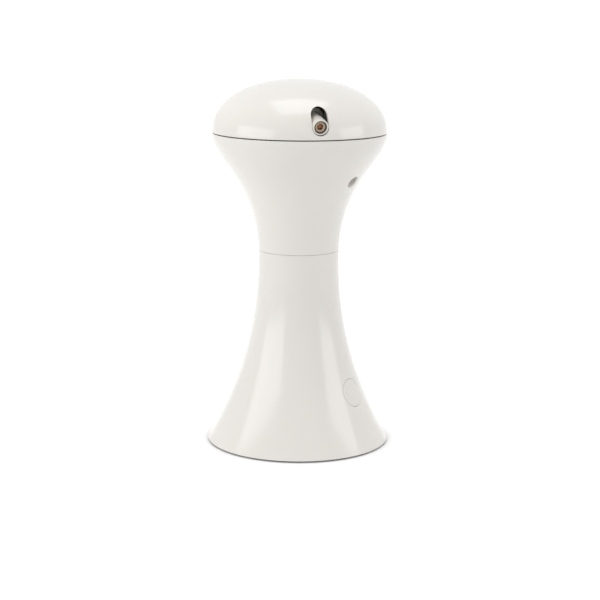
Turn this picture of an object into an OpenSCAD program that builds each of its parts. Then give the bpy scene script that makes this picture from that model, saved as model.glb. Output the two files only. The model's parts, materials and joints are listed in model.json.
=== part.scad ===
// Automatic laser toy for cats. A bell-shaped base carries a flared middle section that turns,
// and a domed head turns on that. The head's laser tilts in an upright slot, and the middle
// has a second laser behind a round window.
// The origin is on the floor below the axis. The button faces -Y, and Z is up.

/* [Outer form] */
// Radius of the bell where its curve would meet the floor
foot_r = 56.3; // [55:0.1:60]
// Radius of the neck at its narrowest
neck_r = 24.5; // [24.5:0.1:27]
// Height of the narrowest part of the neck
neck_z = 115; // [112:0.5:125]
// How quickly the bell sweeps out towards its foot
bell_curve = 2.13; // [1.9:0.01:2.2]
// Height of the neck's seam above its narrowest part
seam_rise = 3.7; // [2:0.1:6]
// Height of the flared middle section, from seam to seam
middle_h = 71; // [68:0.5:80]
// Largest radius of the head
head_r = 52.5; // [52:0.1:56]
// Height of the dome above its lower edge
dome_h = 31.5; // [29:0.5:36]
// Roundness of the dome: 2 is an ellipse, and more is squarer
dome_curve = 2.13; // [2:0.01:2.4]
// How far the flare follows the neck upwards before it opens
flare_low = 46; // [40:0.5:50]
// How far the flare comes down from the head's seam before it closes in
flare_high = 17; // [12:0.5:20]
// Thickness of the shells
wall = 2.2; // [1.8:0.1:2.6]
// Running gap between the base and the middle section
neck_gap = 0.4; // [0.3:0.05:0.8]
// Running gap between the middle section and the head
head_gap = 0.65; // [0.4:0.05:1.2]

/* [Feet and bottom plate] */
// How far the feet lift the rim off the floor
foot_h = 1; // [0.6:0.1:2]
// Radius of a foot
pad_r = 4; // [3.5:0.1:4.2]
// Depth of the pocket that holds a foot
pocket_depth = 0.6; // [0.4:0.1:1]
// Width of the bottom plate outside a foot
pad_edge = 0.6; // [0.4:0.1:1.5]
// Number of feet
pad_count = 4; // [3:1:4]
// Thickness of the bottom plate
plate_t = 2.2; // [2:0.1:2.6]

/* [Battery bay] */
// Radius of the twist-off battery cover
cover_r = 38.6; // [38.4:0.1:40]
// Thickness of the battery cover
cover_t = 1.6; // [1.2:0.1:1.8]
// Angle that the cover turns through to unlock
cover_turn = 20; // [15:1:25]
// Width of a locking lug, as an angle
lug_angle = 16; // [12:1:18]
// How far a locking lug stands out
lug_reach = 2.6; // [2:0.1:2.8]
// Thickness of a locking lug
lug_t = 1.4; // [1:0.1:1.6]
// Diameter of a battery cell
cell_d = 14.2; // [13.5:0.1:14.4]
// Length of a battery cell's can
cell_len = 49.3; // [48:0.1:50]
// Distance between neighbouring cells
cell_pitch = 14.6; // [14.5:0.1:14.8]
// Thickness of the battery tray's walls
tray_wall = 1.4; // [1:0.1:1.6]
// Thickness of a contact plate
contact_t = 0.4; // [0.3:0.05:0.5]
// Reach of a contact's spring leaf
leaf_reach = 3.6; // [3:0.1:4]

/* [Button] */
// Radius of the button
button_r = 8.6; // [7.5:0.1:9.2]
// Height of the button's centre
button_z = 34.2; // [32:0.1:40]
// Gap round the button
button_gap = 0.25; // [0.2:0.05:0.5]
// How far the button presses in
button_travel = 0.8; // [0.4:0.1:1]
// Width of the flange that keeps the button in
button_flange = 1.1; // [0.8:0.1:1.4]

/* [Drives] */
// Size of the gear teeth, as pitch diameter over teeth
gear_module = 0.8; // [0.78:0.01:0.82]
// Teeth on a motor pinion
pinion_teeth = 12; // [12:1:13]
// Teeth on the middle section's ring gear, a multiple of four
lower_teeth = 40; // [40:4:40]
// Teeth on the head's ring gear, a multiple of four
upper_teeth = 60; // [56:4:60]
// Play between meshed teeth
tooth_play = 0.24; // [0.2:0.01:0.3]
// Face width of the gears
gear_w = 5; // [4:0.1:5.5]
// Diameter of a motor's shaft
shaft_d = 3; // [2:0.1:3]
// Radial running clearance of shafts and bushes
run_fit = 0.06; // [0.04:0.01:0.09]
// Length of a motor with its end cap
motor_len = 15.5; // [14:0.5:17]
// Length of a gearbox
gearbox_len = 9; // [9:0.5:10]
// Width of a gearmotor
motor_w = 12; // [11:0.1:12.4]
// Depth of a gearmotor
motor_d = 10; // [9:0.1:10.4]

/* [Lasers] */
// Diameter of a laser's barrel
barrel_d = 9.2; // [8.6:0.1:9.2]
// Diameter of a laser module
module_d = 6.2; // [6:0.1:6.4]
// Length of a laser module
module_len = 16; // [12:0.5:18]
// Diameter of the hole that the beam leaves by
aperture_d = 3.2; // [2.5:0.1:4]
// Width of the slot in the dome
slot_w = 9.8; // [9.8:0.1:11]
// Height of the slot in the dome
slot_h = 16.2; // [16:0.1:17]
// Height of the slot's lower end above the dome's lower edge
slot_rise = 2.3; // [2:0.1:2.4]
// Direction of the head at rest, from the button's side
head_yaw = -43.8; // [-180:0.2:180]
// Distance of the laser's tilt axis from the head's axis
tilt_r = 28; // [27:0.1:28.5]
// Height of the tilt axis above the dome's lower edge
tilt_rise = 11.5; // [11.4:0.1:11.8]
// Downward tilt of the upper laser at rest
rest_tilt = 10; // [9:0.5:10]
// Reach of the upper barrel in front of its tilt axis
barrel_front = 24.6; // [24:0.1:27]
// Reach of the upper barrel behind its tilt axis
barrel_back = 11; // [8:0.5:12]
// Height of the lower laser's window above the neck's seam
window_rise = 43.4; // [42.6:0.1:43.5]
// Diameter of the lower laser's window
window_d = 8.8; // [8:0.1:9]
// Depth of the lower barrel's end behind the window
window_depth = 4.5; // [4:0.1:4.6]
// Length of the lower laser's barrel
lower_barrel_len = 17.3; // [17.2:0.1:17.4]

/* [Screws] */
// Diameter of the screws
screw_d = 1.8; // [1.6:0.1:2]
// Diameter of a screw's head
screw_head_d = 3.6; // [3.2:0.1:3.8]
// Height of a screw's head
screw_head_h = 1.2; // [1:0.1:1.4]
// Length of the screws that go up into the shells
long_screw = 8; // [7:0.5:8.5]

/* [Hidden] */
$fn = 64;
// A cut runs this far past the face that it leaves
past = 0.5;
// Thickness of skin that is kept outside what is moulded onto a shell
skin = 0.7;

shell_white = [0.93, 0.92, 0.89];
inner_white = [0.86, 0.86, 0.83];
board_green = [0.10, 0.36, 0.20];
copper = [0.80, 0.50, 0.28];
steel = [0.72, 0.73, 0.75];
brass = [0.78, 0.63, 0.34];
black = [0.10, 0.10, 0.11];

// Heights of the seams and of the edges beside them
neck_seam_z = neck_z + seam_rise;
bell_top = neck_seam_z - neck_gap / 2;
middle_bottom = neck_seam_z + neck_gap / 2;
head_seam_z = neck_seam_z + middle_h;
middle_top = head_seam_z - head_gap / 2;
dome_bottom = head_seam_z + head_gap / 2;

// Outline of the bell, the flare and the dome
function bell_r(z) = neck_r + (foot_r - neck_r) * pow(max(neck_z - z, 0) / neck_z, bell_curve);
function bezier(a, b, c, d, t) =
    a * pow(1 - t, 3) + 3 * b * pow(1 - t, 2) * t + 3 * c * (1 - t) * t * t + d * t * t * t;
function flare_z(t) =
    bezier(neck_z, neck_z + flare_low, middle_top - flare_high, middle_top, t);
function flare_r(t) = bezier(neck_r, neck_r, head_r, head_r, t);
function flare_t(z, low = 0, high = 1, steps = 24) =
    steps == 0 ? (low + high) / 2 :
    flare_z((low + high) / 2) < z ?
        flare_t(z, (low + high) / 2, high, steps - 1) :
        flare_t(z, low, (low + high) / 2, steps - 1);
function outline_r(z) = z <= neck_z ? bell_r(z) : flare_r(flare_t(z));
function lean(z) = atan((outline_r(z + 0.05) - outline_r(z - 0.05)) / 0.1);

bell_steps = 18;
flare_steps = 18;
dome_steps = 16;

// Where the bottom plate, its collar and the battery bay lie
plate_top = foot_h + plate_t;
collar_h = 2;
collar_top = plate_top + collar_h;
cover_gap = 0.3;
lug_gap = 0.2;
lug_bottom = foot_h + cover_t + lug_gap * 2;
lug_top = lug_bottom + lug_t;
lug_groove_r = cover_r + lug_reach + lug_gap + 0.1;
lug_way = 0;
collar_wall = 1.4;
collar_mid_r = lug_groove_r + collar_wall / 2;
collar_out_r = lug_groove_r + collar_wall;
plate_fit = 0.15;
function plate_r(z) = bell_r(z) - wall - plate_fit;
pad_ring_r = plate_r(foot_h) - pad_edge - pad_r;
base_boss_r = 2.6;
base_boss_h = 16;
base_boss_gap = 0.3;
base_boss_skin = 0.7;
base_screw_ring_r = collar_out_r + base_boss_gap + screw_d / 2 + base_boss_skin;
rib_t = 1.6;
cell_lift = 0.4;
cell_z = lug_top + cell_lift + cell_d / 2;
bay_top = cell_z + cell_d / 2 + 0.3;
bay_w = cell_pitch * 3 + cell_d + 0.6;
bay_l = cell_len + leaf_reach + contact_t * 2 + 2.1;
tray_top = bay_top + 1.6;
tray_gap = 1.5;
tray_corner_r = bell_r(tray_top) - wall - tray_gap;
ear_skin = 0.25;
ear_r = lug_groove_r + screw_d / 2 + ear_skin;
ear_w = 4.6;
ear_t = 2;
contact_w = 10;
contact_h = 11;
standoff_h = 3.5;
board_t = 1.6;
board_w = 50;
board_l = 34;
board_y = 5;
board_z = tray_top + standoff_h;
board_screw_x = board_w / 2 - 4;
board_screw_y = board_l / 2 - 4;

// The button's own axis: local Z points into the bell
button_lean = -lean(button_z);
guide_r = button_r + button_flange + 0.3;
guide_t = 1.4;
flange_depth = 3.6;
flange_t = 1;
plunger_r = 1.7;
plunger_len = 3.6;
switch_depth = flange_depth + flange_t + button_travel + 0.5;
switch_h = 3.5;
switch_w = 6.2;
guide_depth = switch_depth + switch_h;

// Gears
pinion_r = gear_module * pinion_teeth / 2;
lower_pitch_r = gear_module * lower_teeth / 2;
upper_pitch_r = gear_module * upper_teeth / 2;
lower_offset = lower_pitch_r - pinion_r;
upper_offset = upper_pitch_r - pinion_r;
pressure_angle = 20;
pinion_tip = 0.95 * gear_module;
pinion_root = 1.1 * gear_module;
ring_tip = 0.5 * gear_module;
ring_root = 1.2 * gear_module;

// Neck bearing and lower drive
thrust_z = neck_seam_z - 0.1;
bush_h = 7.6;
bush_bottom = thrust_z - bush_h;
bush_r = neck_r - wall;
journal_r = bush_r - 3.1;
shoulder_r = bush_r - 0.6;
shoulder_h = 1.6;
hub_flange_t = 2.5;
hub_flange_top = thrust_z + hub_flange_t;
hub_play = 0.3;
lower_gear_r = shoulder_r - 0.7;
lower_gear_top = bush_bottom - hub_play;
hub_seat = 3.2;
hub_bottom = lower_gear_top - hub_seat;
lower_gear_bottom = hub_bottom - gear_w;
hub_bore_r = journal_r - 2.2;
frame_top = lower_gear_bottom - 1.5;
frame_t = 2.5;
gearbox_top = frame_top - frame_t;
frame_r = shoulder_r - 1.2;
post_len = 29.5;
foot_plate_top = gearbox_top - post_len;
foot_plate_bottom = foot_plate_top - frame_t;
lug_ring_r = 24.3;
frame_lug_r = 2.9;
frame_lug_h = 9;
frame_post_r = 2.5;
frame_post_ring_r = 17.5;
stem_r = 4;
stem_bore_r = 2.2;
brush_h = 5;
stem_top = hub_flange_top + brush_h + 1.4;
lower_shaft_top = lower_gear_bottom + gear_w + 0.6;
ledge_t = 2;
hub_screw_ring_r = 19.6;

// Deck, spindle and upper drive
floor_t = 1.8;
floor_bottom = dome_bottom + 0.2;
floor_top = floor_bottom + floor_t;
upper_gear_bottom = floor_bottom - 6.7;
deck_top = upper_gear_bottom - 3;
deck_t = 2.5;
deck_bottom = deck_top - deck_t;
deck_r = outline_r(deck_bottom) - wall - 0.2;
deck_boss_r = 3;
deck_boss_h = 8;
deck_boss_ring_r = deck_r - 4.8;
spindle_r = 8;
spindle_bore_r = 4.5;
spindle_flange_r = 12.9;
spindle_flange_t = 2;
spindle_boss_r = 8.9;
spindle_boss_top = deck_top + spindle_flange_t + 1.5;
spindle_screw_ring_r = 10.8;
washer_t = 0.5;
bush_foot = spindle_boss_top + washer_t;
head_bush_r = 10.4;
head_bush_top = floor_top + 1.2;
clip_t = 0.8;
clip_z = head_bush_top + 0.1;
groove_r = spindle_r - 0.8;
spindle_top = clip_z + clip_t + 0.9;
head_hub_r = 12.4;
upper_gear_r = upper_pitch_r + ring_root + 3.4;
gear_screw_ring_r = upper_pitch_r + ring_root + 1.7;
upper_shaft_top = upper_gear_bottom + gear_w + 0.2;
dome_boss_ring_r = head_r - 7.5;
track_w = 6.5;
track_gap = 2.7;
track_out_r = dome_boss_ring_r - screw_head_d / 2 - track_gap;
track_in_r = track_out_r - track_w;
track_t = 1.6;
track_r = (track_in_r + track_out_r) / 2;
dome_boss_r = 3;
dome_boss_h = 11;
driver_w = 26;
driver_l = 16;
driver_gap = 6;
driver_r = dome_boss_ring_r - dome_boss_r - driver_l / 2 - driver_gap;
driver_lift = 2.5;
driver_post_x = driver_w / 2 - 4;

// Upper laser, in the head's own direction: the slot faces -Y before the head is turned
tilt_z = dome_bottom + tilt_rise;
slot_low = dome_bottom + slot_rise;
collar_r = 6;
collar_len = 9;
stub_r = 1.6;
cheek_in = 6.9;
cheek_t = 2;
cheek_w = 8;
bracket_t = 2;
bracket_screw_x = cheek_in + cheek_t + screw_head_d / 2 + 0.3;
washer_gap = 0.05;
lip_depth = 1.2;
lip_r = 3.65;
lens_depth = 0.8;
lens_t = 1.4;

// Lower laser
window_z = neck_seam_z + window_rise;
window_lean = lean(window_z);
window_boss_r = barrel_d / 2 + 1.8;
window_boss_len = 14;

// Teeth: the half angle of a tooth at radius r, and the outline of a whole gear. A ring gear's
// spaces have the same outline as the teeth of a gear that would fill it.
function base_angle(r, pitch_r) = acos(min(1, pitch_r * cos(pressure_angle) / r));
function involute(a) = tan(a) * 180 / PI - a;
function half_tooth(r, teeth, pitch_r, play) =
    90 / teeth + play / pitch_r * 90 / PI
    - (involute(base_angle(r, pitch_r)) - involute(pressure_angle));
function gear_points(teeth, root_r, tip_r, play) =
    let (pitch_r = gear_module * teeth / 2)
    let (radii = [root_r, pitch_r, tip_r])
    [for (i = [0:teeth - 1])
        let (middle = 90 + i * 360 / teeth)
        each concat(
            [for (r = radii) polar(r, middle - half_tooth(r, teeth, pitch_r, play))],
            [for (k = [2:-1:0])
                polar(radii[k], middle + half_tooth(radii[k], teeth, pitch_r, play))])];
function polar(r, a) = [r * cos(a), r * sin(a)];

module pinion_outline() {
    polygon(gear_points(pinion_teeth, pinion_r - pinion_root, pinion_r + pinion_tip,
        -tooth_play / 2));
}

module ring_spaces(teeth) {
    pitch_r = gear_module * teeth / 2;
    polygon(gear_points(teeth, pitch_r - ring_tip, pitch_r + ring_root, tooth_play / 2));
}

// A round bar from one height to another
module bar(r, low, high) {
    translate([0, 0, low])
        cylinder(r = r, h = high - low);
}

// A round tube from one height to another
module tube(r, bore_r, low, high) {
    difference() {
        bar(r, low, high);
        bar(bore_r, low - past, high + past);
    }
}

// Puts its children at equal angles round the axis
module around(count, r, start = 0) {
    for (i = [0:count - 1])
        rotate([0, 0, start + i * 360 / count])
            translate([r, 0, 0])
                children();
}

// A box that is centred in X and Y, from one height to another
module block(w, l, low, high) {
    translate([-w / 2, -l / 2, low])
        cube([w, l, high - low]);
}

// A screw that points down, with the underside of its head at z
module screw(z, length) {
    difference() {
        union() {
            bar(screw_head_d / 2, z, z + screw_head_h);
            bar(screw_d / 2, z - length, z + 0.1);
        }
        block(screw_head_d * 0.6, 0.5, z + screw_head_h * 0.5, z + screw_head_h + past);
        block(0.5, screw_head_d * 0.6, z + screw_head_h * 0.5, z + screw_head_h + past);
    }
}

// A hole for a screw's shank, through or blind
module screw_hole(low, high) {
    bar(screw_d / 2 + 0.05, low, high);
}

// A hole that a screw passes through freely
module free_hole(low, high) {
    bar(screw_d / 2 + 0.25, low, high);
}

// The bell, filled, with its outside set in by an amount
module bell_solid(inset) {
    rotate_extrude($fn = 128)
        polygon(concat(
            [[0, foot_h]],
            [for (i = [0:bell_steps])
                let (z = foot_h + (neck_z - foot_h) * i / bell_steps)
                [bell_r(z) - inset, z]],
            [[outline_r(bell_top) - inset, bell_top], [0, bell_top]]));
}

// The room inside the bell, up to the shoulder that the neck bush stands on
module bell_room() {
    top = bush_bottom - shoulder_h;
    rotate_extrude($fn = 128)
        polygon(concat(
            [[0, foot_h - past], [bell_r(foot_h - past) - wall, foot_h - past]],
            [for (i = [0:bell_steps])
                let (z = foot_h + (top - foot_h) * i / bell_steps)
                [bell_r(z) - wall, z]],
            [[0, top]]));
}

module flare_solid(inset) {
    first = flare_t(middle_bottom);
    rotate_extrude($fn = 128)
        polygon(concat(
            [[0, middle_bottom]],
            [for (i = [0:flare_steps])
                let (t = first + (1 - first) * i / flare_steps)
                [flare_r(t) - inset, flare_z(t)]],
            [[0, middle_top]]));
}

module flare_room() {
    first = flare_t(middle_bottom);
    rotate_extrude($fn = 128)
        polygon(concat(
            [[0, middle_bottom - past], [flare_r(first) - wall, middle_bottom - past]],
            [for (i = [0:flare_steps])
                let (t = first + (1 - first) * i / flare_steps)
                [flare_r(t) - wall, flare_z(t)]],
            [[head_r - wall, middle_top + past], [0, middle_top + past]]));
}

// The dome, filled, smaller by an inset all over
module dome_solid(inset, bottom) {
    rotate_extrude($fn = 128)
        polygon(concat(
            [[0, bottom]],
            [[head_r - inset, bottom]],
            [for (i = [0:dome_steps])
                let (a = 90 * i / dome_steps)
                [(head_r - inset) * pow(cos(a), 2 / dome_curve),
                    dome_bottom + 0.05 + (dome_h - 0.05 - inset) * pow(sin(a), 2 / dome_curve)]]));
}

// Sets its children on the button's axis, with local Z pointing into the bell
module on_button_axis() {
    translate([0, -outline_r(button_z), button_z])
        rotate([-(90 + button_lean), 0, 0])
            children();
}

// Sets its children on the lower laser's axis, with local Z pointing into the flare
module on_window_axis() {
    translate([0, -outline_r(window_z), window_z])
        rotate([-(90 - window_lean), 0, 0])
            children();
}

// Sets its children on the upper laser's axis, with local Z pointing out of the slot
module on_tilt_axis() {
    translate([0, -tilt_r, tilt_z])
        rotate([90 + rest_tilt, 0, 0])
            children();
}

module turned_head() {
    rotate([0, 0, head_yaw])
        children();
}

// ---- Base ----

module lower_shell() {
    color(shell_white)
    difference() {
        union() {
            difference() {
                bell_solid(0);
                bell_room();
                bar(shoulder_r, bush_bottom - shoulder_h - past, bush_bottom + past);
                bar(bush_r, bush_bottom, bell_top + past);
            }
            intersection() {
                bell_solid(skin);
                union() {
                    around(3, base_screw_ring_r, 90)
                        bar(base_boss_r, plate_top, plate_top + base_boss_h);
                    around(3, base_screw_ring_r, 90)
                        translate([0, -rib_t / 2, plate_top])
                            cube([foot_r - base_screw_ring_r, rib_t, base_boss_h]);
                    around(3, lug_ring_r, 90)
                        bar(frame_lug_r, foot_plate_top, foot_plate_top + frame_lug_h);
                    on_button_axis()
                        tube(guide_r + guide_t, guide_r, skin, guide_depth);
                }
            }
        }
        bar(collar_out_r + base_boss_gap, plate_top - past, collar_top + base_boss_gap);
        around(3, base_screw_ring_r, 90)
            screw_hole(plate_top - past, foot_h + screw_head_h + long_screw + 1);
        around(3, lug_ring_r, 90)
            screw_hole(foot_plate_top - past, foot_plate_bottom + long_screw + 1.5);
        on_button_axis()
            bar(button_r + button_gap, -4, guide_depth + past);
    }
}

module base_plate() {
    color(inner_white)
    difference() {
        union() {
            rotate_extrude($fn = 128)
                polygon([
                    [collar_mid_r, foot_h],
                    [plate_r(foot_h), foot_h],
                    [plate_r(plate_top), plate_top],
                    [collar_mid_r, plate_top]]);
            tube(collar_out_r, cover_r + cover_gap, foot_h, collar_top);
            around(2, ear_r)
                bar(ear_w / 2, foot_h, collar_top);
        }
        // Groove for the cover's lugs, with a way in for each
        bar(lug_groove_r, lug_bottom - lug_gap, lug_top + lug_gap);
        for (i = [0:2])
            rotate([0, 0, lug_way + i * 120])
                lug_sector(lug_groove_r - 0.1, lug_angle + 3, foot_h - past, lug_bottom + lug_gap);
        around(3, base_screw_ring_r, 90) {
            free_hole(foot_h - past, plate_top + past);
            bar(screw_head_d / 2 + 0.3, foot_h - past, foot_h + screw_head_h);
        }
        around(2, ear_r)
            screw_hole(foot_h + 1, collar_top + past);
        around(pad_count, pad_ring_r, 45)
            bar(pad_r, foot_h - past, foot_h + pocket_depth);
    }
}

// A sector of a disc, for a lug or its way in
module lug_sector(r, angle, low, high) {
    intersection() {
        bar(r, low, high);
        translate([0, 0, low])
            linear_extrude(high - low)
                polygon([
                    [0, 0],
                    polar(r * 1.2, -angle / 2),
                    polar(r * 1.2, 0),
                    polar(r * 1.2, angle / 2)]);
    }
}

module rubber_feet() {
    color(black)
    around(pad_count, pad_ring_r, 45)
        bar(pad_r, 0, foot_h + pocket_depth);
}

module base_screws() {
    color(steel)
    around(3, base_screw_ring_r, 90)
        translate([0, 0, foot_h + screw_head_h])
            mirror([0, 0, 1])
                screw(0, long_screw);
}

module battery_cover() {
    color(inner_white)
    difference() {
        union() {
            bar(cover_r, foot_h, foot_h + cover_t);
            tube(cover_r - 0.1, cover_r - 3, foot_h + cover_t - 0.1, lug_top);
            for (i = [0:2])
                rotate([0, 0, lug_way - cover_turn + i * 120])
                    difference() {
                        lug_sector(cover_r + lug_reach, lug_angle, lug_bottom, lug_top);
                        bar(cover_r - 2, lug_bottom - past, lug_top + past);
                    }
        }
        // Slot for a coin
        block(22, 2, foot_h - past, foot_h + 0.9);
    }
}

module battery_tray() {
    color(inner_white)
    difference() {
        union() {
            intersection() {
                block(bay_w + tray_wall * 2, bay_l + tray_wall * 2, collar_top, tray_top);
                bar(tray_corner_r, collar_top, tray_top);
            }
            for (side = [-1, 1])
                hull() {
                    translate([side * (bay_w / 2 + 0.5), 0, 0])
                        block(1, ear_w + 4, collar_top, collar_top + ear_t);
                    translate([side * ear_r, 0, 0])
                        bar(ear_w / 2, collar_top, collar_top + ear_t);
                }
            for (x = [-1, 1], y = [-1, 1])
                translate([x * board_screw_x, board_y + y * board_screw_y, 0])
                    bar(2.4, tray_top - 0.5, board_z);
        }
        block(bay_w, bay_l, collar_top - past, bay_top);
        around(2, ear_r)
            free_hole(collar_top - past, collar_top + ear_t + past);
        for (x = [-1, 1], y = [-1, 1])
            translate([x * board_screw_x, board_y + y * board_screw_y, 0])
                screw_hole(board_z - 4, board_z + past);
    }
}

module tray_screws() {
    color(steel) {
        around(2, ear_r)
            screw(collar_top + ear_t, 5);
        for (x = [-1, 1], y = [-1, 1])
            translate([x * board_screw_x, board_y + y * board_screw_y, 0])
                screw(board_z + board_t, 5);
    }
}

// Places one child per cell, with every second one turned end for end
module each_cell() {
    for (i = [0:3])
        translate([(i - 1.5) * cell_pitch, 0, cell_z])
            rotate([0, 0, i % 2 * 180])
                children();
}

module aa_cells() {
    color([0.25, 0.27, 0.30])
    each_cell()
        translate([0, bay_l / 2 - contact_t - 0.7, 0])
            rotate([90, 0, 0]) {
                cylinder(r = 2.75, h = 1.2);
                translate([0, 0, 1])
                    cylinder(r = cell_d / 2, h = cell_len);
            }
}

module spring_contacts() {
    color(steel)
    each_cell()
        translate([0, -bay_l / 2, 0]) {
            translate([-contact_w / 2, 0, -contact_h / 2])
                cube([contact_w, contact_t, contact_h]);
            translate([-3, contact_t, 0])
                rotate([90, 0, 90])
                    linear_extrude(6)
                        polygon([[-0.1, -5], [leaf_reach, 0], [1, 4.5], [0.5, 4.5],
                            [leaf_reach - 0.7, 0], [-0.1, -4]]);
        }
}

module flat_contacts() {
    color(steel)
    each_cell()
        translate([0, bay_l / 2, 0]) {
            translate([-contact_w / 2, -contact_t, -contact_h / 2])
                cube([contact_w, contact_t, contact_h]);
            rotate([90, 0, 0])
                cylinder(r = 2, h = contact_t + 0.5);
        }
}

module main_board() {
    color(board_green)
    difference() {
        translate([0, board_y, 0])
            block(board_w, board_l, board_z, board_z + board_t);
        for (x = [-1, 1], y = [-1, 1])
            translate([x * board_screw_x, board_y + y * board_screw_y, 0])
                free_hole(board_z - past, board_z + board_t + past);
    }
}

module board_parts() {
    top = board_z + board_t;
    color(black) {
        translate([-4, board_y, 0])
            block(10, 10, top, top + 1.6);
        translate([12, board_y + 6, 0])
            bar(3.2, top, top + 8);
        translate([-16, board_y - 2, 0])
            block(6, 12, top, top + 5);
        translate([11, board_y - 8, 0])
            block(12, 5, top, top + 5);
        translate([4, board_y + 12, 0])
            block(4, 5, top, top + 2);
    }
}

module button_cap() {
    color(shell_white)
    union() {
        intersection() {
            bell_solid(0);
            on_button_axis()
                bar(button_r, -4, flange_depth + 0.2);
        }
        on_button_axis()
            bar(button_r + button_flange, flange_depth, flange_depth + flange_t);
    }
}

module switch_plunger() {
    color(black)
    on_button_axis()
        bar(plunger_r, flange_depth + flange_t, flange_depth + flange_t + plunger_len);
}

module switch_board() {
    color(board_green)
    on_button_axis()
        bar(guide_r + guide_t, guide_depth, guide_depth + board_t);
}

module tact_switch() {
    color(black)
    on_button_axis()
        difference() {
            block(switch_w, switch_w, switch_depth, guide_depth);
            bar(plunger_r + 0.15, switch_depth - past,
                flange_depth + flange_t + plunger_len + button_travel + 0.2);
        }
}

module motor_frame() {
    color(inner_white)
    difference() {
        union() {
            bar(frame_r, gearbox_top, frame_top);
            bar(lug_ring_r + 2.2, foot_plate_bottom, foot_plate_top);
            around(3, frame_post_ring_r, 30)
                bar(frame_post_r, foot_plate_top - 0.5, gearbox_top + 0.5);
        }
        bar(12, foot_plate_bottom - past, foot_plate_top + past);
        bar(stem_bore_r, gearbox_top - past, frame_top + past);
        translate([0, lower_offset, 0])
            bar(shaft_d / 2 + 0.8, gearbox_top - past, frame_top + past);
        for (x = [-1, 1])
            translate([x * (motor_w / 2 - 1.7), lower_offset, 0])
                free_hole(gearbox_top - past, frame_top + past);
        around(3, lug_ring_r, 90)
            free_hole(foot_plate_bottom - past, foot_plate_top + past);
    }
}

module frame_screws() {
    color(steel) {
        around(3, lug_ring_r, 90)
            translate([0, 0, foot_plate_bottom])
                mirror([0, 0, 1])
                    screw(0, long_screw);
        for (x = [-1, 1])
            translate([x * (motor_w / 2 - 1.7), lower_offset, 0])
                screw(frame_top, 5);
    }
}

// An open gearbox with its top face at z: three plates, four pillars and a gear train
module gearbox(offset, z) {
    plate = 0.8;
    gap = (gearbox_len - plate * 3) / 2;
    translate([0, offset, 0])
        difference() {
            union() {
                for (level = [0, 1, 2])
                    block(motor_w, motor_d, z - gearbox_len + level * (plate + gap),
                        z - gearbox_len + level * (plate + gap) + plate);
                for (x = [-1, 1], y = [-1, 1])
                    translate([x * (motor_w / 2 - 1.7), y * (motor_d / 2 - 1.4), 0])
                        bar(1, z - gearbox_len, z);
                for (x = [-1, 1])
                    translate([x * (motor_w / 2 - 1.7), 0, 0])
                        bar(1.5, z - gearbox_len, z);
                bar(3.2, z - gearbox_len, z - gap * 0.6);
                translate([0, 2.2, 0])
                    bar(2.4, z - gearbox_len, z - gap * 1.5);
            }
            bar(shaft_d / 2 + run_fit, z - gearbox_len * 0.6, z + past);
            for (x = [-1, 1])
                translate([x * (motor_w / 2 - 1.7), 0, 0])
                    screw_hole(z - 4.5, z + past);
        }
}

// A flat-sided can motor under its gearbox, with an end cap and two terminals
module motor(offset, z) {
    top = z - gearbox_len;
    translate([0, offset, 0]) {
        intersection() {
            bar(motor_w / 2, top - motor_len + 2, top);
            block(motor_w + 1, motor_d, top - motor_len + 2, top);
        }
        intersection() {
            bar(motor_w / 2 - 0.6, top - motor_len, top - motor_len + 2.1);
            block(motor_w, motor_d - 1, top - motor_len, top - motor_len + 2.1);
        }
        for (x = [-1, 1])
            translate([x * 3.4, 0, 0])
                block(0.5, 1.8, top - motor_len - 2.5, top - motor_len + 0.5);
    }
}

module motor_shaft(offset, z, top) {
    translate([0, offset, 0])
        bar(shaft_d / 2, z - gearbox_len * 0.6 + 0.3, top);
}

module pinion(offset, low) {
    translate([0, offset, low])
        difference() {
            linear_extrude(gear_w)
                pinion_outline();
            bar(shaft_d / 2, -past, gear_w + past);
        }
}

module lower_gearbox() {
    color(brass)
        gearbox(lower_offset, gearbox_top);
}

module lower_motor() {
    color(steel)
        motor(lower_offset, gearbox_top);
}

module lower_motor_shaft() {
    color(steel)
        motor_shaft(lower_offset, gearbox_top, lower_shaft_top);
}

module lower_pinion() {
    color(inner_white)
        pinion(lower_offset, lower_gear_bottom + 0.2);
}

module neck_bush() {
    color([0.92, 0.90, 0.80])
        tube(bush_r, journal_r + run_fit, bush_bottom, thrust_z);
}

module contact_stem() {
    color(black)
    difference() {
        bar(stem_r, frame_top, stem_top);
        bar(stem_bore_r, frame_top - past, stem_top + past);
        for (i = [0:2])
            tube(stem_r + past, stem_r - 0.4, band_z(i), band_z(i) + 1);
    }
}

function band_z(i) = hub_flange_top + 0.6 + i * 1.6;

module contact_bands() {
    color(copper)
    for (i = [0:2])
        tube(stem_r, stem_r - 0.4, band_z(i), band_z(i) + 1);
}

// ---- Middle ----

module middle_shell() {
    color(shell_white)
    difference() {
        union() {
            difference() {
                flare_solid(0);
                flare_room();
            }
            intersection() {
                flare_solid(skin);
                union() {
                    tube(neck_r, hub_bore_r, hub_flange_top, hub_flange_top + ledge_t);
                    around(3, deck_boss_ring_r, 90)
                        bar(deck_boss_r, deck_bottom - deck_boss_h, deck_bottom);
                    on_window_axis()
                        bar(window_boss_r, skin, window_boss_len);
                }
            }
        }
        on_window_axis() {
            bar(window_d / 2, -6, window_depth);
            bar(barrel_d / 2 + 0.05, window_depth - past, window_boss_len + past);
        }
        around(3, hub_screw_ring_r, 30)
            free_hole(hub_flange_top - past, hub_flange_top + ledge_t + past);
        around(3, deck_boss_ring_r, 90)
            screw_hole(deck_bottom - 6, deck_bottom + past);
    }
}

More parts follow.
